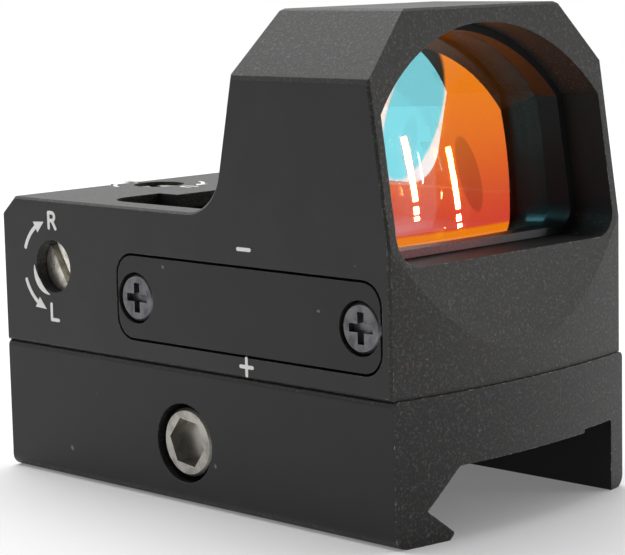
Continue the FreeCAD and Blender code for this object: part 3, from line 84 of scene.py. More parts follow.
# The red band fades out between these heights above the ring's foot, and across these places in X.
RED_BAND_TOP = 1.3 * MM
RED_BAND_FULL = 0.9 * MM
RED_BAND_NONE_AT = 6 * MM
RED_BAND_FULL_AT = -2 * MM

# On its way down the lens turns from orange to red, and to orange again between these heights above
# the ring's foot.
FOOT_LOW = 1.15 * MM
FOOT_HIGH = 1.45 * MM

# Marks: how much each slab stands above the last, and how much bolder arrows are than letters.
SLAB_STEP = 5e-5 * MM
ARROW_WEIGHT = 1.15

# Threads: the ridges' middles, just under the shanks' surfaces, and the plain lengths left at the ends.
CLAMP_RIDGE_RADIUS = 1.47 * MM
DOOR_RIDGE_RADIUS = 0.98 * MM
CLAMP_THREAD_SHARE = 0.45
CLAMP_PLAIN_TIP = 0.2 * MM
DOOR_PLAIN_TIP = 0.3 * MM
DOOR_SCREW_HEAD = 1.1 * MM

# Lamps: name, place, side of the square in metres, and power in watts.
LAMPS = (
    ("top_softbox", (0.1, 0.35, 0.8), 0.9, 6.0),
    ("left_fill", (-0.7, 0.1, 0.3), 0.4, 0.35),
)

# Strip lamps as the glass sees them: name, angle from +X towards -Y, lowest and highest point, in
# degrees. Each streak in the glass is a long strip with a dash and a dot below it.
STRIPS = (
    ("strip_left", 44.85, 4.25, 7.8), ("dash_left", 44.9, 3.55, 3.95), ("dot_left", 44.95, 3.2, 3.4),
    ("strip_right", 41.6, 3.25, 6.6), ("dash_right", 41.65, 2.6, 2.95), ("dot_right", 41.65, 2.25, 2.45),
)
STRIP_WIDTH = 0.006
STRIP_GLOW = 160.0

# Dark ovals in the white half of the studio: angle from +X towards -Y, height, half width, half length,
# tilt, all in degrees, and how much of the white each takes away.
SHADES = ((43.4, 8.6, 1.7, 3.9, -45, 0.97), (40.3, 4.9, 0.8, 1.9, 10, 0.3))

FLOOR_RADIUS = 0.45
SENSOR_WIDTH = 36


# ---- sizes and colours that a user would change ------------------------------------------------

def length(name, description, millimetres):
    return bpy.props.FloatProperty(
        name=name, description=description, default=millimetres * MM, unit="LENGTH", precision=5
    )


def angle(name, description, degrees):
    return bpy.props.FloatProperty(
        name=name, description=description, default=math.radians(degrees), subtype="ANGLE"
    )


def amount(name, description, value):
    return bpy.props.FloatProperty(name=name, description=description, default=value)


def colour(name, description, value):
    return bpy.props.FloatVectorProperty(
        name=name, description=description, default=value, size=3, subtype="COLOR", min=0, max=1
    )


class FinishSizes(bpy.types.PropertyGroup):
    """Colours and grain of the finishes."""

    black: colour("Anodising", "Black anodised aluminium", (0.0135, 0.0133, 0.0131))
    chip: colour("Chips", "Bare metal where an edge is knocked", (0.42, 0.4, 0.37))
    dust: colour("Dust", "Specks of dust on the casings", (0.25, 0.25, 0.24))
    blast_grain: length("Blast grain", "Size of the grain on the blasted faces", 0.22)
    # The edge width sets the chips, the rounded-edge shading, and the lighter line along every edge, which is
    # partly wear and partly a painted highlight.
    edge_width: length("Edge wear and highlight", "Width of the worn line along edges", 0.1)
    lean: angle("Lean", "How far the window leans back", 8.5)
    coat_top: colour("Coating, top", "What the coated lens reflects at its top", (0.8, 0.2, 0.004))
    coat_low: colour("Coating, low", "What the coated lens reflects low down", (0.62, 0.04, 0.03))
    coat_clear: colour("Coating, through", "What the coated lens lets through", (0.2, 0.66, 0.74))
    coat_radius: length("Coating radius", "Radius that the coated face's reflections show", 250)


class MarkSizes(bpy.types.PropertyGroup):
    """The painted marks."""

    paint: colour("Paint", "Colour of the marks", (0.86, 0.86, 0.84))
    stroke: length("Stroke", "Width of a painted line", 0.3)
    proud: length("Proud", "How far the paint stands above the metal", 0.012)
    depth: length("Depth", "How deep the paint fills its engraving", 0.05)
    arrow_radius: length("Arrow radius", "Radius of the arrows round a screw", 3.85)
    arrow_head: length("Arrow head", "Length of an arrow's head", 1.25)
    arrow_start: angle("Arrow start", "Where an arrow starts, from the line through the screw", 21)
    arrow_end: angle("Arrow end", "Where an arrow's head starts", 57)
    letter: length("Letter", "Height of the letters", 1.3)
    sign: length("Sign", "Length of the plus and minus strokes", 1.3)
    sign_shift: length("Sign shift", "Signs in front of the door's middle", 0.37)
    deck_recess: length("Deck recess", "How deep the elevation screw sits in the deck", 0.3)


class ThreadSizes(bpy.types.PropertyGroup):
    """Threads on the screws."""

    rise: length("Rise", "Height of a thread above the plain shank", 0.06)
    coarse: length("Clamp pitch", "Pitch of the clamp bolt's thread", 0.5)
    fine: length("Fine pitch", "Pitch of the door screws' threads", 0.4)
    around: bpy.props.IntProperty(name="Around", description="Points in one turn of a thread", default=20)


class StageSizes(bpy.types.PropertyGroup):
    """Camera, lights and floor."""

    place: bpy.props.FloatVectorProperty(
        name="Camera", description="Place of the camera", size=3, unit="LENGTH",
        default=(-0.13061, -0.13028, 0.04315), precision=5,
    )
    turn: angle("Turn", "Camera's turn round the sight, from the front", -44.804)
    tilt: angle("Tilt", "Camera's height above the horizon", 8.238)
    roll: angle("Roll", "Camera's roll", -1.343)
    lens: amount("Lens", "Focal length in millimetres on a 36 mm sensor", 130.31)
    shift: bpy.props.FloatVectorProperty(
        name="Shift", description="Camera shift", size=2, default=(0.0233, 0.0051), precision=4
    )
    floor: colour("Floor", "Colour of the floor", (0.85, 0.85, 0.85))
    floor_glow: amount("Floor glow", "Light that comes through the floor's translucent sheet", 0.16)
    backdrop: amount("Backdrop", "Brightness of the white studio behind and beside the sight", 1.0)
    room: amount("Room", "Brightness of the room in front of the sight", 0.1)
    white_side: angle("White side", "Middle of the white half of the studio, from +X towards +Y", 38)
    strip_distance: bpy.props.FloatProperty(
        name="Strip distance", description="From the lens to the strip lamps", default=0.9, unit="LENGTH"
    )


GROUPS = {
    "sight_finish": FinishSizes, "sight_marks": MarkSizes,
    "sight_threads": ThreadSizes, "sight_stage": StageSizes,
}


# ---- node trees --------------------------------------------------------------------------------

class Value:
    """A node's output that takes part in arithmetic; each operation adds a Math node."""

    def __init__(self, graph, socket):
        self.graph, self.socket = graph, socket

    def __add__(self, other):
        return self.graph.math("ADD", self, other)

    def __sub__(self, other):
        return self.graph.math("SUBTRACT", self, other)

    def __rsub__(self, other):
        return self.graph.math("SUBTRACT", other, self)

    def __mul__(self, other):
        return self.graph.math("MULTIPLY", self, other)

    def __truediv__(self, other):
        return self.graph.math("DIVIDE", self, other)

    __radd__ = __add__
    __rmul__ = __mul__


class Graph:
    """A node tree, for a material or for geometry."""

    def __init__(self, tree):
        self.tree = tree

    def node(self, kind, settings=None, values=None, output=0):
        """Adds a node: its settings first, then the values or links of its inputs."""
        item = self.tree.nodes.new(kind)
        for name, setting in (settings or {}).items():
            setattr(item, name, setting)
        for name, value in (values or {}).items():
            self.feed(item.inputs[name], value)
        return Value(self, item.outputs[output]) if item.outputs else item

    def feed(self, socket, value):
        """Links an input to a value, or sets it to a constant."""
        if isinstance(value, Value):
            self.tree.links.new(value.socket, socket)
        elif socket.type == "RGBA":
            socket.default_value = (*value, 1)
        else:
            socket.default_value = value

    def math(self, operation, *values):
        """Arithmetic on numbers."""
        return self.node("ShaderNodeMath", {"operation": operation}, dict(enumerate(values)))

    def vector(self, operation, *values, output=0):
        """Arithmetic on vectors."""
        inputs = dict(enumerate(values))
        return self.node("ShaderNodeVectorMath", {"operation": operation}, inputs, output)

    def place(self):
        """The point on the object, in its own coordinates."""
        return self.node("ShaderNodeTexCoord", output="Object")

    def part(self, vector, axis):
        """One coordinate of a vector: 0 for X, 1 for Y, 2 for Z."""
        return self.node("ShaderNodeSeparateXYZ", None, {0: vector}, axis)

    def noise(self, size, detail=2.0, output=0, rough=0.5, stretch=None):
        """Noise whose grains are about this size, in metres."""
        at = self.place()
        if stretch:
            at = self.vector("MULTIPLY", at, stretch)
        values = {"Vector": at, "Scale": 1 / size, "Detail": detail, "Roughness": rough}
        return self.node("ShaderNodeTexNoise", None, values, output)

    def ramp(self, value, low, high, new_low=0.0, new_high=1.0):
        """Smoothly from one number to another as the value goes from low to high."""
        values = {"Value": value, "From Min": low, "From Max": high, "To Min": new_low, "To Max": new_high}
        return self.node("ShaderNodeMapRange", {"interpolation_type": "SMOOTHSTEP"}, values)

    def mix(self, share, first, second):
        """One colour fading into another."""
        item = self.tree.nodes.new("ShaderNodeMix")
        item.data_type = "RGBA"
        for socket, value in ((item.inputs[0], share), (item.inputs[6], first), (item.inputs[7], second)):
            self.feed(socket, value)
        return Value(self, item.outputs[2])

    def facing(self, direction):
        """How far the surface faces a fixed direction, from -1 to 1."""
        normal = self.node("ShaderNodeNewGeometry", output="True Normal")
        return self.vector("DOT_PRODUCT", normal, direction, output="Value")

    def edges(self, width):
        """1 along sharp edges, 0 on open surfaces."""
        soft = self.node("ShaderNodeBevel", {"samples": 6}, {"Radius": width})
        flat = self.node("ShaderNodeNewGeometry", output="True Normal")
        return self.ramp(self.vector("DOT_PRODUCT", soft, flat, output="Value"), 0.999, 0.93)

    def bump(self, height, distance, strength=1.0, **inputs):
        """A normal that follows a height; the distance is how far its full height stands out."""
        values = {"Height": height, "Distance": distance, "Strength": strength, **inputs}
        return self.node("ShaderNodeBump", None, values)

    def surface(self, colour, rough, metal=0.0, normal=None, **constants):
        """The finished surface: colour, roughness and normal may vary, the rest are plain numbers."""
        values = {"Base Color": colour, "Roughness": rough, "Metallic": metal, **constants}
        if normal is not None:
            values["Normal"] = normal
        return self.node("ShaderNodeBsdfPrincipled", None, values)


def material(name, build):
    """A new material whose surface comes from build(graph)."""
    made = bpy.data.materials.new(name)
    made.use_nodes = True
    made.node_tree.nodes.clear()
    graph = Graph(made.node_tree)
    graph.node("ShaderNodeOutputMaterial", None, {"Surface": build(graph)})
    return made


def cover(names, finish):
    """Gives CAD nodes a finish."""
    for name in names:
        mesh = NODES[name].data
        mesh.materials.clear()
        mesh.materials.append(finish)


# ---- finishes ----------------------------------------------------------------------------------

def anodised(sizes, name, lift=1.0, wear=1.0):
    """Matt black anodising: fine on the machined sides, coarse where the metal was blasted."""

    def build(graph):
        sides = graph.ramp(graph.math("ABSOLUTE", graph.facing((1, 0, 0))), 0.9, 0.99)
        coarse = graph.noise(sizes.blast_grain, 3.0, rough=0.7)
        fine = graph.noise(sizes.blast_grain / 3, 2.0)
        cloud = graph.noise(CLOUD_SIZE, 3.0)
        tint = graph.noise(sizes.blast_grain * 1.3, 1.0, output="Color")
        black = [value * lift for value in sizes.black]
        worn = [value * 1.9 for value in black]
        base = graph.mix(graph.ramp(cloud, 0.3, 0.75) * 0.35, black, worn)
        base = graph.mix((1 - sides) * 0.5, base, [black[0] * 1.7, black[1] * 1.5, black[2] * 1.2])
        # Light coloured specks on the blasted faces: partly the blast grain's own colour, partly painted sparkle
        # glints.
        grain_and_glint_specks = graph.ramp(coarse, 0.48, 0.72) * (1 - sides)
        bright = graph.mix(0.5, [min(1, value * 5) for value in black], graph.vector("MULTIPLY", tint, tint))
        base = graph.mix(grain_and_glint_specks * 0.42, base, bright)
        dust = graph.ramp(graph.noise(DUST_SPACING, 1.0), 0.79, 0.82)
        base = graph.mix(dust * 0.6, base, sizes.dust)
        edge = graph.edges(sizes.edge_width)
        knocks = graph.ramp(graph.noise(KNOCK_SIZE, 4.0, rough=0.75), 0.52, 0.6)
        front = graph.ramp(graph.part(graph.place(), 1), HOUSING_LOW.y + 3 * MM, HOUSING_LOW.y + 1 * MM)
        chips = edge * knocks * (0.25 + front * 0.75) * wear
        # A lighter line along every edge: partly worn anodising, partly a painted highlight where the broken edges
        # catch light.
        base = graph.mix(edge * 0.3, base, [value * 3 for value in black])
        base = graph.mix(chips, base, sizes.chip)
        rough = graph.ramp(fine, 0.2, 0.8, 0.42, 0.56) - edge * 0.08
        grain = coarse * (1 - sides) + fine * 0.25
        soft = graph.node("ShaderNodeBevel", {"samples": 4}, {"Radius": sizes.edge_width})
        bumpy = graph.bump(grain, BLAST_DEPTH, 0.7, Normal=soft)
        return graph.surface(base, rough, chips * 0.8, bumpy, **{"Specular IOR Level": 0.42})

    return material(name, build)


def ring_finish():
    """Black anodising, mottled red along its foot, fading out towards +X."""

    def build(graph):
        place = graph.place()
        foot = graph.ramp(graph.part(place, 2), RING_LOW.z + RED_BAND_TOP, RING_LOW.z + RED_BAND_FULL)
        near = graph.ramp(graph.part(place, 0), RED_BAND_NONE_AT, RED_BAND_FULL_AT)
        red_mottle = graph.ramp(graph.noise(0.35 * MM, 3.0, rough=0.7), 0.3, 0.62, 0.45, 1.0)
        base = graph.mix(foot * near * red_mottle, (0.011, 0.01, 0.011), (0.42, 0.07, 0.08))
        return graph.surface(base, 0.34 + red_mottle * 0.1, 0.0, graph.bump(red_mottle, 0.02 * MM, 0.6))

    return material("ring_anodised", build)


def metal(name, tone, rough, grime=0.3, grain=(1, 1, 1)):
    """Bare or plated metal with fine marks along its grain and grime in patches."""

    def build(graph):
        lines = graph.noise(BRUSH_SIZE, 2.0, stretch=grain)
        patches = graph.ramp(graph.noise(GRIME_SIZE, 4.0, rough=0.6), 0.42, 0.68)
        base = graph.mix(lines * 0.3, tone, [min(1, value * 1.35) for value in tone])
        base = graph.mix(patches * grime, base, [value * 0.3 for value in tone])
        # Lighter along the edges: a painted highlight, the glints on the rims of the heads.
        edge = graph.edges(0.06 * MM)
        base = graph.mix(edge * 0.6, base, [min(1, value * 2) for value in tone])
        return graph.surface(
            base, graph.ramp(lines, 0.2, 0.8, rough * 0.8, rough * 1.25) + patches * 0.12,
            1.0, graph.bump(lines, BRUSH_DEPTH, 0.5),
        )

    return material(name, build)


def plain(name, tone, rough, grain, depth, variation=0.25, **constants):
    """A moulded, printed or rubber surface with its own grain."""

    def build(graph):
        texture = graph.noise(grain, 3.0)
        patches = graph.ramp(graph.noise(grain * 9, 3.0), 0.3, 0.7)
        base = graph.mix(patches, tone, [value * (1 - variation) for value in tone])
        shine = graph.ramp(texture, 0.2, 0.8, rough * 0.85, rough * 1.15)
        return graph.surface(base, shine, normal=graph.bump(texture, depth), **constants)

    return material(name, build)


def optical_axis(sizes):
    """The direction in which the lens looks: forwards, and up by the window's lean."""
    return (0, -math.cos(sizes.lean), math.sin(sizes.lean))


def clear_faces(graph, facing):
    """Glass that lets nearly everything through, with a trace of gloss and a grey ground rim."""
    rim = graph.ramp(graph.math("ABSOLUTE", facing), 0.75, 0.6)
    shine = graph.node("ShaderNodeFresnel", None, {"IOR": 1.45}) * 0.1
    through = graph.node("ShaderNodeBsdfTransparent", None, {"Color": (0.97, 0.98, 0.98)})
    gloss = graph.node("ShaderNodeBsdfGlossy", None, {"Color": (0.9, 0.95, 1.0), "Roughness": 0.01})
    faces = graph.node("ShaderNodeMixShader", None, {0: shine, 1: through, 2: gloss})
    ground = graph.surface((0.2, 0.19, 0.18), graph.ramp(graph.noise(0.1 * MM), 0.2, 0.8, 0.35, 0.6))
    return graph.node("ShaderNodeMixShader", None, {0: rim * 0.5, 1: faces, 2: ground})


def clear_glass(name, axis):
    """Clear glass whose polished faces look along an axis."""
    return material(name, lambda graph: clear_faces(graph, graph.facing(axis)))


def coated_glass(sizes):
    """The front element: its front face reflects orange to red and lets blue-green through."""

    def build(graph):
        axis = Vector(optical_axis(sizes))
        centre = COATED_MIDDLE - axis * sizes.coat_radius
        facing = graph.facing(axis)
        coat = graph.ramp(facing, 0.5, 0.8)
        height = graph.part(graph.place(), 2)
        red_top = LENS_LOW.z + 0.7 * (LENS_HIGH.z - LENS_LOW.z)
        red = 1 - graph.ramp(height, LENS_LOW.z, red_top)
        above_foot = 1 - graph.ramp(height, RING_LOW.z + FOOT_HIGH, RING_LOW.z + FOOT_LOW)
        outward = graph.vector("NORMALIZE", graph.vector("SUBTRACT", graph.place(), centre))
        through = graph.node("ShaderNodeBsdfTransparent", None, {"Color": sizes.coat_clear})
        low, high = (
            graph.node("ShaderNodeBsdfGlossy", None, {"Color": tint, "Roughness": 0.01, "Normal": outward})
            for tint in (sizes.coat_low, sizes.coat_top)
        )
        mirror = graph.node("ShaderNodeMixShader", None, {0: 1 - red * above_foot, 1: low, 2: high})
        dichroic = graph.node("ShaderNodeAddShader", None, {0: through, 1: mirror})
        return graph.node("ShaderNodeMixShader", None, {0: coat, 1: clear_faces(graph, facing), 2: dichroic})

    return material("coated_glass", build)


def painted(sizes):
    """White paint in an engraved mark, a little uneven."""

    def build(graph):
        worn = graph.ramp(graph.noise(PAINT_WEAR_SIZE, 4.0, rough=0.7), 0.62, 0.8)
        base = graph.mix(worn * 0.5, sizes.paint, [value * 0.6 for value in sizes.paint])
        shine = graph.ramp(worn, 0.0, 1.0, 0.45, 0.7)
        return graph.surface(base, shine, normal=graph.bump(worn, 0.004 * MM))

    return material("white_paint", build)


# ---- meshes ------------------------------------------------------------------------------------

def side_face(proud):
    """Where a mark on the door side goes: drawn to the right towards the front, and up."""
    return Matrix((
        (0, 0, -1, HOUSING_LOW.x - proud),
        (-1, 0, 0, 0),
        (0, 1, 0, 0),
        (0, 0, 0, 1),
    ))


def deck_face(proud, deck):
    """Where a mark on the deck goes, read from behind the sight."""
    return Matrix((
        (-1, 0, 0, 0),
        (0, -1, 0, 0),
        (0, 0, 1, deck + proud),
        (0, 0, 0, 1),
    ))


def slab(shape, outline, face, depth):
    """A thin closed slab: the outline, drawn on a face, given a depth into it. Each slab stands a
    hair above the last, so that strokes which cross don't share a face."""
    lift = len(shape.verts) * SLAB_STEP
    top = [shape.verts.new(face @ Vector((x, y, lift))) for x, y in outline]
    bottom = [shape.verts.new(face @ Vector((x, y, -depth))) for x, y in outline]
    shape.faces.new(top)
    shape.faces.new(bottom[::-1])
    for index in range(len(outline)):
        after = (index + 1) % len(outline)
        shape.faces.new((top[index], bottom[index], bottom[after], top[after]))


def stroke(points, widths):
    """The outline of a brush line along the points, with round ends."""
    count = len(points)
    left, right = [], []
    for index, (x, y) in enumerate(points):
        before, after = points[max(0, index - 1)], points[min(count - 1, index + 1)]
        along = Vector((after[0] - before[0], after[1] - before[1])).normalized()
        half = widths[index] / 2
        left.append((x - along.y * half, y + along.x * half))
        right.append((x + along.y * half, y - along.x * half))
    return left + cap(points[-1], left[-1], right[-1]) + right[::-1] + cap(points[0], right[0], left[0])


def cap(centre, start, end, steps=5):
    """Points of the half circle from one side of a line's end to the other, clockwise."""
    first = math.atan2(start[1] - centre[1], start[0] - centre[0])
    radius = math.dist(start, centre)
    return [
        (
            centre[0] + radius * math.cos(first - math.pi * step / steps),
            centre[1] + radius * math.sin(first - math.pi * step / steps),
        )
        for step in range(1, steps)
    ]


def arc(centre, radius, first, last, steps=16):
    """Points along an arc, its angles in degrees."""
    points = []
    for step in range(steps + 1):
        turn = math.radians(first + (last - first) * step / steps)
        points.append((centre[0] + radius * math.cos(turn), centre[1] + radius * math.sin(turn)))
    return points


def glyph(letter, centre, height):
    """The strokes of a plain letter or sign, as lists of points."""
    x, y = centre
    half, tall = height * 0.34, height / 2
    bowl = tall / 2
    lines = {
        "L": [[(x - half, y + tall), (x - half, y - tall), (x + half, y - tall)]],
        "R": [
            [(x - half, y - tall), (x - half, y + tall)],
            [(x - half, y + tall), *arc((x, y + bowl), bowl, 90, -90, 8), (x - half, y)],
            [(x, y), (x + half, y - tall)],
        ],
        "D": [[
            (x - half, y - tall), (x - half, y + tall),
            *arc((x - half, y), tall, 80, -80, 10), (x - half, y - tall),
        ]],
        "U": [[(x - half, y + tall), *arc((x, y - tall + half), half, 180, 360, 8), (x + half, y + tall)]],
        "-": [[(x - tall, y), (x + tall, y)]],
        "+": [[(x - tall, y), (x + tall, y)], [(x, y - tall), (x, y + tall)]],
    }
    return lines[letter]


def finish_shape(shape, name, body, finish):
    """Turns the built shape into a piece that rides on a body."""
    bmesh.ops.recalc_face_normals(shape, faces=shape.faces)
    mesh = bpy.data.meshes.new(name)
    shape.to_mesh(mesh)
    shape.free()
    make_piece(mesh, name, body, finish)


def make_piece(mesh, name, body, finish, smooth=False):
    """Adds a mesh as a piece that rides on a body and takes a material slot."""
    mesh.materials.clear()
    mesh.materials.append(finish)
    mesh.polygons.foreach_set("use_smooth", [smooth] * len(mesh.polygons))
    piece = bpy.data.objects.new(name, mesh)
    bpy.context.scene.collection.objects.link(piece)
    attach(piece, body)


# ---- geometry nodes ----------------------------------------------------------------------------

def geometry_tree(name, inputs):
    """An empty geometry tree with named inputs, and its graph and input values by name."""
    tree = bpy.data.node_groups.new(name, "GeometryNodeTree")
    for label, (kind, default) in inputs.items():
        socket = tree.interface.new_socket(label, in_out="INPUT", socket_type=kind)
        socket.default_value = default
    tree.interface.new_socket("Geometry", in_out="OUTPUT", socket_type="NodeSocketGeometry")
    graph = Graph(tree)
    source = tree.nodes.new("NodeGroupInput")
    return graph, {label: Value(graph, source.outputs[label]) for label in inputs}


def close_tree(graph, geometry, finish):
    """Ends a tree: real geometry, its material and the output."""
    real = graph.node("GeometryNodeRealizeInstances", None, {"Geometry": geometry})
    done = graph.node("GeometryNodeSetMaterial", None, {"Geometry": real, "Material": finish})
    graph.node("NodeGroupOutput", None, {"Geometry": done})
    return graph.tree


def run_tree(tree, values):
    """The plain mesh that a geometry tree makes with these inputs."""
    carrier = bpy.data.objects.new("carrier", bpy.data.meshes.new("carrier"))
    bpy.context.scene.collection.objects.link(carrier)
    modifier = carrier.modifiers.new("tree", "NODES")
    modifier.node_group = tree
    for item in tree.interface.items_tree:
        if item.in_out == "INPUT" and item.name in values:
            modifier[item.identifier] = values[item.name]
    bpy.context.view_layer.update()
    evaluated = carrier.evaluated_get(bpy.context.evaluated_depsgraph_get())
    mesh = bpy.data.meshes.new_from_object(evaluated)
    carrier.modifiers.remove(modifier)
    bpy.data.objects.remove(carrier)
    return mesh


def thread_tree(finish):
    """A thread: a round ridge wound about an axis, from a place along a direction."""
    inputs = {
        "Radius": ("NodeSocketFloat", 0.001), "Rise": ("NodeSocketFloat", 0.0001),
        "Pitch": ("NodeSocketFloat", 0.0005), "Length": ("NodeSocketFloat", 0.005),
        "Around": ("NodeSocketInt", 20), "Place": ("NodeSocketVector", (0, 0, 0)),
        "Turn": ("NodeSocketVector", (0, 0, 0)),
    }
    graph, given = geometry_tree("thread", inputs)
    spiral = graph.node("GeometryNodeCurveSpiral", None, {
        "Resolution": given["Around"], "Rotations": given["Length"] / given["Pitch"],
        "Start Radius": given["Radius"], "End Radius": given["Radius"], "Height": given["Length"],
    })
    profile = graph.node("GeometryNodeCurvePrimitiveCircle", None, {
        "Resolution": 5, "Radius": given["Rise"],
    })
    ridge = graph.node("GeometryNodeCurveToMesh", None, {
        "Curve": spiral, "Profile Curve": profile, "Fill Caps": True,
    })
    turn = graph.node("FunctionNodeEulerToRotation", None, {0: given["Turn"]})
    placed = graph.node("GeometryNodeTransform", None, {
        "Geometry": ridge, "Translation": given["Place"], "Rotation": turn,
    })
    return close_tree(graph, placed, finish)


def pad_tree(finish):
    """Rows of solder pads, each a low block, on a grid."""
    inputs = {
        "Columns": ("NodeSocketInt", 4), "Rows": ("NodeSocketInt", 2), "Width": ("NodeSocketFloat", 0.004),
        "Depth": ("NodeSocketFloat", 0.002), "Pad": ("NodeSocketVector", (0.0003, 0.0005, 0.00006)),
        "Place": ("NodeSocketVector", (0, 0, 0)),
    }
    graph, given = geometry_tree("pads", inputs)
    grid = graph.node("GeometryNodeMeshGrid", None, {
        "Size X": given["Width"], "Size Y": given["Depth"],
        "Vertices X": given["Columns"], "Vertices Y": given["Rows"],
    })
    pad = graph.node("GeometryNodeMeshCube", None, {"Size": given["Pad"]})
    pads = graph.node("GeometryNodeInstanceOnPoints", None, {"Points": grid, "Instance": pad})
    placed = graph.node("GeometryNodeTransform", None, {"Geometry": pads, "Translation": given["Place"]})
    return close_tree(graph, placed, finish)


# ---- operators ---------------------------------------------------------------------------------

class SightStep(bpy.types.Operator):
    """One step of the sight's looks."""

    bl_options = {"REGISTER", "UNDO"}

    def execute(self, context):
        self.make(context.scene)
        return {"FINISHED"}


class SIGHT_OT_casings(SightStep):
    """Anodise the casings and finish the nylon and rubber pieces"""

    bl_idname = "sight.casings"
    bl_label = "Casings"

    def make(self, scene):
        sizes = scene.sight_finish
        cover(["upper_housing"], anodised(sizes, "housing_anodised"))
        # The mount and jaw take a darker copy of the same anodising: painted shade, set against the light that the
        # glowing floor throws up onto the base.
        cover(["mount_base", "clamp_jaw"], anodised(sizes, "mount_anodised_shaded", lift=0.5))
        cover(["battery_door"], anodised(sizes, "door_anodised", lift=0.6, wear=0.6))
        cover(["lens_ring"], ring_finish())
        cover(["bottom_cover", "battery_tray", "button_switch"], plain(
            "black_nylon", (0.02, 0.02, 0.021), 0.5, 0.25 * MM, 0.01 * MM
        ))
        cover(["cover_gasket", "lens_gasket", "door_gasket", "windage_o_ring", "elevation_o_ring"], plain(
            "seal_rubber", (0.012, 0.012, 0.012), 0.62, 0.12 * MM, 0.006 * MM
        ))
        cover(["power_button"], plain(
            "button_rubber", (0.02, 0.02, 0.02), 0.7, 0.1 * MM, 0.01 * MM, 0.35
        ))


class SIGHT_OT_fasteners(SightStep):
    """Finish the screws, springs, contacts and other metal pieces"""

    bl_idname = "sight.fasteners"
    bl_label = "Fasteners"

    def make(self, scene):
        cover(["clamp_bolt"], metal("zinc_plate", (0.4, 0.385, 0.35), 0.34, grime=0.35))
        cover(["door_screw_front", "door_screw_rear"], metal(
            "dark_steel", (0.16, 0.16, 0.17), 0.38, grime=0.5
        ))
        cover(["windage_screw", "elevation_screw"], metal(
            "bright_nickel", (0.78, 0.74, 0.66), 0.3, grime=0.45, grain=(1, 1, 0.1)
        ))
        cover(["body_screws", "cover_screws", "locating_pins"], metal(
            "plain_steel", (0.5, 0.49, 0.47), 0.35
        ))
        cover(["windage_spring", "elevation_spring", "windage_retainer", "elevation_retainer"], metal(
            "spring_steel", (0.55, 0.55, 0.56), 0.28
        ))
        cover(["windage_carriage", "elevation_nut"], metal("turned_brass", (0.72, 0.5, 0.2), 0.3))
        cover(["positive_contact", "negative_contact"], metal(
            "contact_nickel", (0.75, 0.74, 0.7), 0.22, grime=0.1
        ))
        cover(["coin_cell"], metal("cell_can", (0.68, 0.68, 0.66), 0.25, grime=0.12))
        cover(["emitter_block"], metal("block_alloy", (0.1, 0.1, 0.105), 0.45, grime=0.2))


class SIGHT_OT_optics(SightStep):
    """Coat the lens and finish the emitter's glass, board and light"""

    bl_idname = "sight.optics"
    bl_label = "Optics"

    def make(self, scene):
        sizes = scene.sight_finish
        cover(["lens_front_element"], coated_glass(sizes))
        cover(["lens_rear_element"], clear_glass("rear_glass", optical_axis(sizes)))
        cover(["emitter_window"], clear_glass("emitter_glass", (0, -1, 0)))
        cover(["led_emitter"], plain(
            "red_epoxy", (0.6, 0.04, 0.03), 0.12, 0.3 * MM, 0.001 * MM, **{"Coat Weight": 0.5}
        ))
        cover(["circuit_board", "emitter_board"], plain(
            "solder_mask", (0.01, 0.1, 0.045), 0.35, 0.2 * MM, 0.004 * MM, **{"Coat Weight": 0.4}
        ))


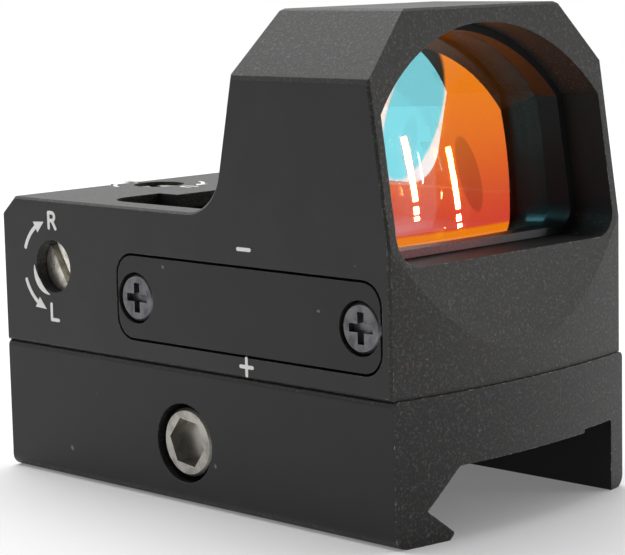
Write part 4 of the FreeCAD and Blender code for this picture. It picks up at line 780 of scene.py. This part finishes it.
class SIGHT_OT_marks(SightStep):
    """Paint the arrows, letters and battery signs"""

    bl_idname = "sight.marks"
    bl_label = "Painted marks"

    def make(self, scene):
        sizes = scene.sight_marks
        paint = painted(sizes)
        side = side_face(sizes.proud)
        shape = bmesh.new()
        self.adjuster(shape, sizes, side, (-WINDAGE.y, WINDAGE.z), (("R", 1, 180), ("L", -1, 180)))
        self.splash(shape, sizes, side, (-WINDAGE.y, WINDAGE.z))
        finish_shape(shape, "windage_marks", "sight", paint)
        shape = bmesh.new()
        middle = (DOOR_LOW.y + DOOR_HIGH.y) / 2 - sizes.sign_shift
        above = DOOR_HIGH.z + sizes.letter + 0.2 * MM
        below = (DOOR_LOW.z + MOUNT_TOP) / 2
        for sign, height in (("-", above), ("+", below)):
            self.write(shape, sizes, side, sign, (-middle, height), sizes.sign)
        finish_shape(shape, "battery_marks", "sight", paint)
        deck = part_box("elevation_screw")[1].z + sizes.deck_recess
        shape = bmesh.new()
        marks = (("U", 1, 180), ("D", -1, 0))
        self.adjuster(shape, sizes, deck_face(sizes.proud, deck), (0, -ELEVATION.y), marks)
        finish_shape(shape, "elevation_marks", "sight", paint)

    def adjuster(self, shape, sizes, face, centre, marks):
        """Curved arrows round a screw, each pointing at its letter above (1) or below (-1) the
        screw. An arrow starts at the screw's left, 180, or at its right, 0."""
        for letter, way, side in marks:
            spin = way if side else -way
            tail, tip = (side - spin * math.degrees(turn) for turn in (sizes.arrow_start, sizes.arrow_end))
            line = arc(centre, sizes.arrow_radius, tail, tip)
            slab(shape, stroke(line, [sizes.stroke * ARROW_WEIGHT] * len(line)), face, sizes.depth)
            self.head(shape, sizes, face, centre, tip, spin)
            place = (centre[0] + 0.05 * MM, centre[1] + way * sizes.arrow_radius)
            self.write(shape, sizes, face, letter, place, sizes.letter)

    def head(self, shape, sizes, face, centre, tip, spin):
        """The triangle at the end of an arrow that runs clockwise, 1, or the other way, -1."""
        turn = math.radians(tip)
        out = Vector((math.cos(turn), math.sin(turn)))
        ahead = Vector((math.sin(turn), -math.cos(turn))) * spin
        base = Vector(centre) + out * sizes.arrow_radius - ahead * sizes.arrow_head * 0.1
        half = sizes.arrow_head * 0.42
        corners = [base + out * half, base + ahead * sizes.arrow_head - out * half * 0.35, base - out * half]
        slab(shape, [tuple(corner) for corner in corners], face, sizes.depth)

    def splash(self, shape, sizes, face, centre):
        """The thin white crescent along the lower rear rim of the windage hole."""
        screw_radius = WINDAGE.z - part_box("windage_screw")[0].z
        line = arc(centre, screw_radius + 0.33 * MM, 182, 256, 20)
        count = len(line)
        widths = [0.55 * MM * math.sin(math.pi * (index + 1) / (count + 1)) for index in range(count)]
        slab(shape, stroke(line, widths), face, sizes.depth)

    def write(self, shape, sizes, face, letter, centre, height):
        """A letter or sign, one slab for each straight stroke."""
        for line in glyph(letter, centre, height):
            for start, end in zip(line, line[1:]):
                slab(shape, stroke([start, end], [sizes.stroke] * 2), face, sizes.depth)


class SIGHT_OT_threads(SightStep):
    """Wind the threads of the clamp bolt and the door screws"""

    bl_idname = "sight.threads"
    bl_label = "Threads"

    def make(self, scene):
        sizes = scene.sight_threads
        steel = metal("thread_steel", (0.4, 0.39, 0.36), 0.35)
        dark = metal("thread_dark_steel", (0.16, 0.16, 0.17), 0.35)
        low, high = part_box("clamp_bolt")
        reach = (high.x - low.x) * CLAMP_THREAD_SHARE
        start = Vector((high.x - reach - CLAMP_PLAIN_TIP, CLAMP.y, CLAMP.z))
        self.thread(sizes, "clamp_bolt_thread", "clamp_bolt", "clamp_bolt", steel, {
            "Radius": CLAMP_RIDGE_RADIUS, "Pitch": sizes.coarse, "Length": reach, "Place": start,
        })
        for name in ("front", "rear"):
            node = f"door_screw_{name}"
            low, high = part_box(node)
            centre = (low + high) / 2
            reach = high.x - low.x - DOOR_SCREW_HEAD - DOOR_PLAIN_TIP
            start = Vector((low.x + DOOR_SCREW_HEAD, centre.y, centre.z))
            self.thread(sizes, f"{node}_thread", BODY_OF[node], "door_screw", dark, {
                "Radius": DOOR_RIDGE_RADIUS, "Pitch": sizes.fine, "Length": reach, "Place": start,
            })

    def thread(self, sizes, name, body, slot, finish, values):
        """A thread along +X, as a piece of its own."""
        along_x = (0, math.pi / 2, 0)
        given = {"Rise": sizes.rise, "Around": sizes.around, "Turn": along_x, **values}
        make_piece(run_tree(thread_tree(finish), given), name, body, finish, smooth=True)


class SIGHT_OT_board_pads(SightStep):
    """Add the solder pads under the circuit board"""

    bl_idname = "sight.board_pads"
    bl_label = "Board pads"

    def make(self, scene):
        tin = metal("tinned_pads", (0.7, 0.7, 0.68), 0.35, grime=0.1)
        mesh = run_tree(pad_tree(tin), {
            "Columns": 8, "Rows": 2, "Width": 9 * MM, "Depth": 4 * MM,
            "Pad": Vector((0.6, 1.2, 0.06)) * MM,
            "Place": Vector((0, BOARD_HIGH.y - 3.4 * MM, BOARD_LOW.z - 0.02 * MM)),
        })
        make_piece(mesh, "board_pads", "sight", tin)


def towards(azimuth, height):
    """The direction at an angle from +X towards -Y and a height above the horizon, in degrees."""
    azimuth, height = math.radians(azimuth), math.radians(height)
    across = math.cos(height)
    return Vector((math.cos(azimuth) * across, -math.sin(azimuth) * across, math.sin(height)))


class SIGHT_OT_stage(SightStep):
    """Set the floor, the lights and the camera"""

    bl_idname = "sight.stage"
    bl_label = "Stage"

    def make(self, scene):
        sizes = scene.sight_stage
        self.floor(sizes)
        self.world(scene, sizes)
        for name, place, side, power in LAMPS:
            self.light(name, SIGHT_MIDDLE, place, (side, side), power)
        for strip in STRIPS:
            self.strip(sizes.strip_distance, *strip)
        self.camera(scene, sizes)

    def floor(self, sizes):
        """A round pale floor that glows a little."""
        shape = bmesh.new()
        bmesh.ops.create_circle(shape, cap_ends=True, segments=64, radius=FLOOR_RADIUS)
        mesh = bpy.data.meshes.new("floor")
        shape.to_mesh(mesh)
        shape.free()
        mesh.materials.append(plain(
            "pale_floor", tuple(sizes.floor), 0.8, 2 * MM, 0.01 * MM, 0.02,
            **{"Emission Color": (1, 1, 1), "Emission Strength": sizes.floor_glow, "Specular IOR Level": 0.1},
        ))
        floor = bpy.data.objects.new("floor", mesh)
        bpy.context.scene.collection.objects.link(floor)

    def world(self, scene, sizes):
        """White behind and beside the sight, dark in front of it; the open background is white."""
        scene.world = bpy.data.worlds.new("studio")
        scene.world.use_nodes = True
        scene.world.node_tree.nodes.clear()
        graph = Graph(scene.world.node_tree)
        sky = graph.node("ShaderNodeTexCoord", output="Generated")
        white_side = (math.cos(sizes.white_side), math.sin(sizes.white_side), 0.1)
        share_white = graph.vector("DOT_PRODUCT", sky, white_side, output="Value")
        glow = graph.ramp(share_white, -0.05, 0.12, sizes.room, sizes.backdrop)
        for *oval, darkness in SHADES:
            glow = glow * (1 - self.shade(graph, sky, *oval) * darkness)
        seen = graph.node("ShaderNodeLightPath", output="Is Camera Ray")
        strength = graph.math("MAXIMUM", glow, seen * sizes.backdrop)
        light = graph.node("ShaderNodeBackground", None, {"Color": (1, 1, 1), "Strength": strength})
        graph.node("ShaderNodeOutputWorld", None, {"Surface": light})

    def shade(self, graph, sky, azimuth, height, across, along, tilt):
        """1 inside an oval patch of the sky, 0 outside it. All sizes are in degrees."""
        middle = towards(azimuth, height)
        east = Vector((middle.y, -middle.x, 0)).normalized()
        north = east.cross(middle)
        turn = math.radians(tilt)
        long_way = north * math.cos(turn) + east * math.sin(turn)
        short_way = east * math.cos(turn) - north * math.sin(turn)
        reach = 0
        for way, half in ((long_way, along), (short_way, across)):
            share = graph.vector("DOT_PRODUCT", sky, way, output="Value") / math.sin(math.radians(half))
            reach = share * share + reach
        ahead = graph.math("GREATER_THAN", graph.vector("DOT_PRODUCT", sky, middle, output="Value"), 0.0)
        return graph.ramp(reach, 1.15, 0.9) * ahead

    def strip(self, distance, name, azimuth, low, high):
        """A strip lamp seen from the glass between two heights."""
        bottom, top = (GLASS_MIDDLE + towards(azimuth, height) * distance for height in (low, high))
        size = (STRIP_WIDTH, (top - bottom).length)
        power = STRIP_GLOW * math.pi * size[0] * size[1]
        self.light(name, GLASS_MIDDLE, (bottom + top) / 2, size, power)

    def light(self, name, target, place, size, power):
        """A rectangular lamp aimed at a point."""
        lamp = bpy.data.lights.new(name, "AREA")
        lamp.shape = "RECTANGLE"
        lamp.size, lamp.size_y = size
        lamp.energy = power
        holder = bpy.data.objects.new(name, lamp)
        holder.location = place
        holder.rotation_euler = (target - Vector(place)).to_track_quat("-Z", "Y").to_euler()
        bpy.context.scene.collection.objects.link(holder)

    def camera(self, scene, sizes):
        """The camera, turned round the sight, tilted and rolled."""
        data = bpy.data.cameras.new("camera")
        data.lens, data.sensor_width = sizes.lens, SENSOR_WIDTH
        data.shift_x, data.shift_y = sizes.shift
        data.clip_start = 0.01
        across = math.cos(sizes.tilt)
        back = Vector((math.sin(sizes.turn) * across, -math.cos(sizes.turn) * across, math.sin(sizes.tilt)))
        right = Vector((0, 0, 1)).cross(back).normalized()
        up = back.cross(right)
        facing = Matrix((right, up, back)).transposed().to_4x4()
        camera = bpy.data.objects.new("camera", data)
        camera.matrix_world = (
            Matrix.Translation(sizes.place) @ facing @ Matrix.Rotation(sizes.roll, 4, "Z")
        )
        scene.collection.objects.link(camera)
        scene.camera = camera
        scene.view_settings.view_transform = "Standard"


STEPS = (
    SIGHT_OT_casings, SIGHT_OT_fasteners, SIGHT_OT_optics, SIGHT_OT_marks,
    SIGHT_OT_threads, SIGHT_OT_board_pads, SIGHT_OT_stage,
)


class SIGHT_PT_looks(bpy.types.Panel):
    """Lists the steps and their sizes"""

    bl_idname = "SIGHT_PT_looks"
    bl_label = "Reflex sight"
    bl_space_type = "VIEW_3D"
    bl_region_type = "UI"
    bl_category = "Sight"

    def draw(self, context):
        for step in STEPS:
            self.layout.operator(step.bl_idname)
        for name, group in GROUPS.items():
            box = self.layout.box()
            for prop in group.__annotations__:
                box.prop(getattr(context.scene, name), prop)


def register():
    for group in GROUPS.values():
        bpy.utils.register_class(group)
    for item in (*STEPS, SIGHT_PT_looks):
        bpy.utils.register_class(item)
    for name, group in GROUPS.items():
        setattr(bpy.types.Scene, name, bpy.props.PointerProperty(type=group))


def unregister():
    for name in GROUPS:
        delattr(bpy.types.Scene, name)
    for item in (SIGHT_PT_looks, *STEPS[::-1], *GROUPS.values()):
        bpy.utils.unregister_class(item)


def main():
    """Makes the whole scene."""
    register()
    bpy.ops.sight.casings()
    bpy.ops.sight.fasteners()
    bpy.ops.sight.optics()
    bpy.ops.sight.marks()
    bpy.ops.sight.threads()
    bpy.ops.sight.board_pads()
    bpy.ops.sight.stage()


if __name__ == "__main__":
    main()
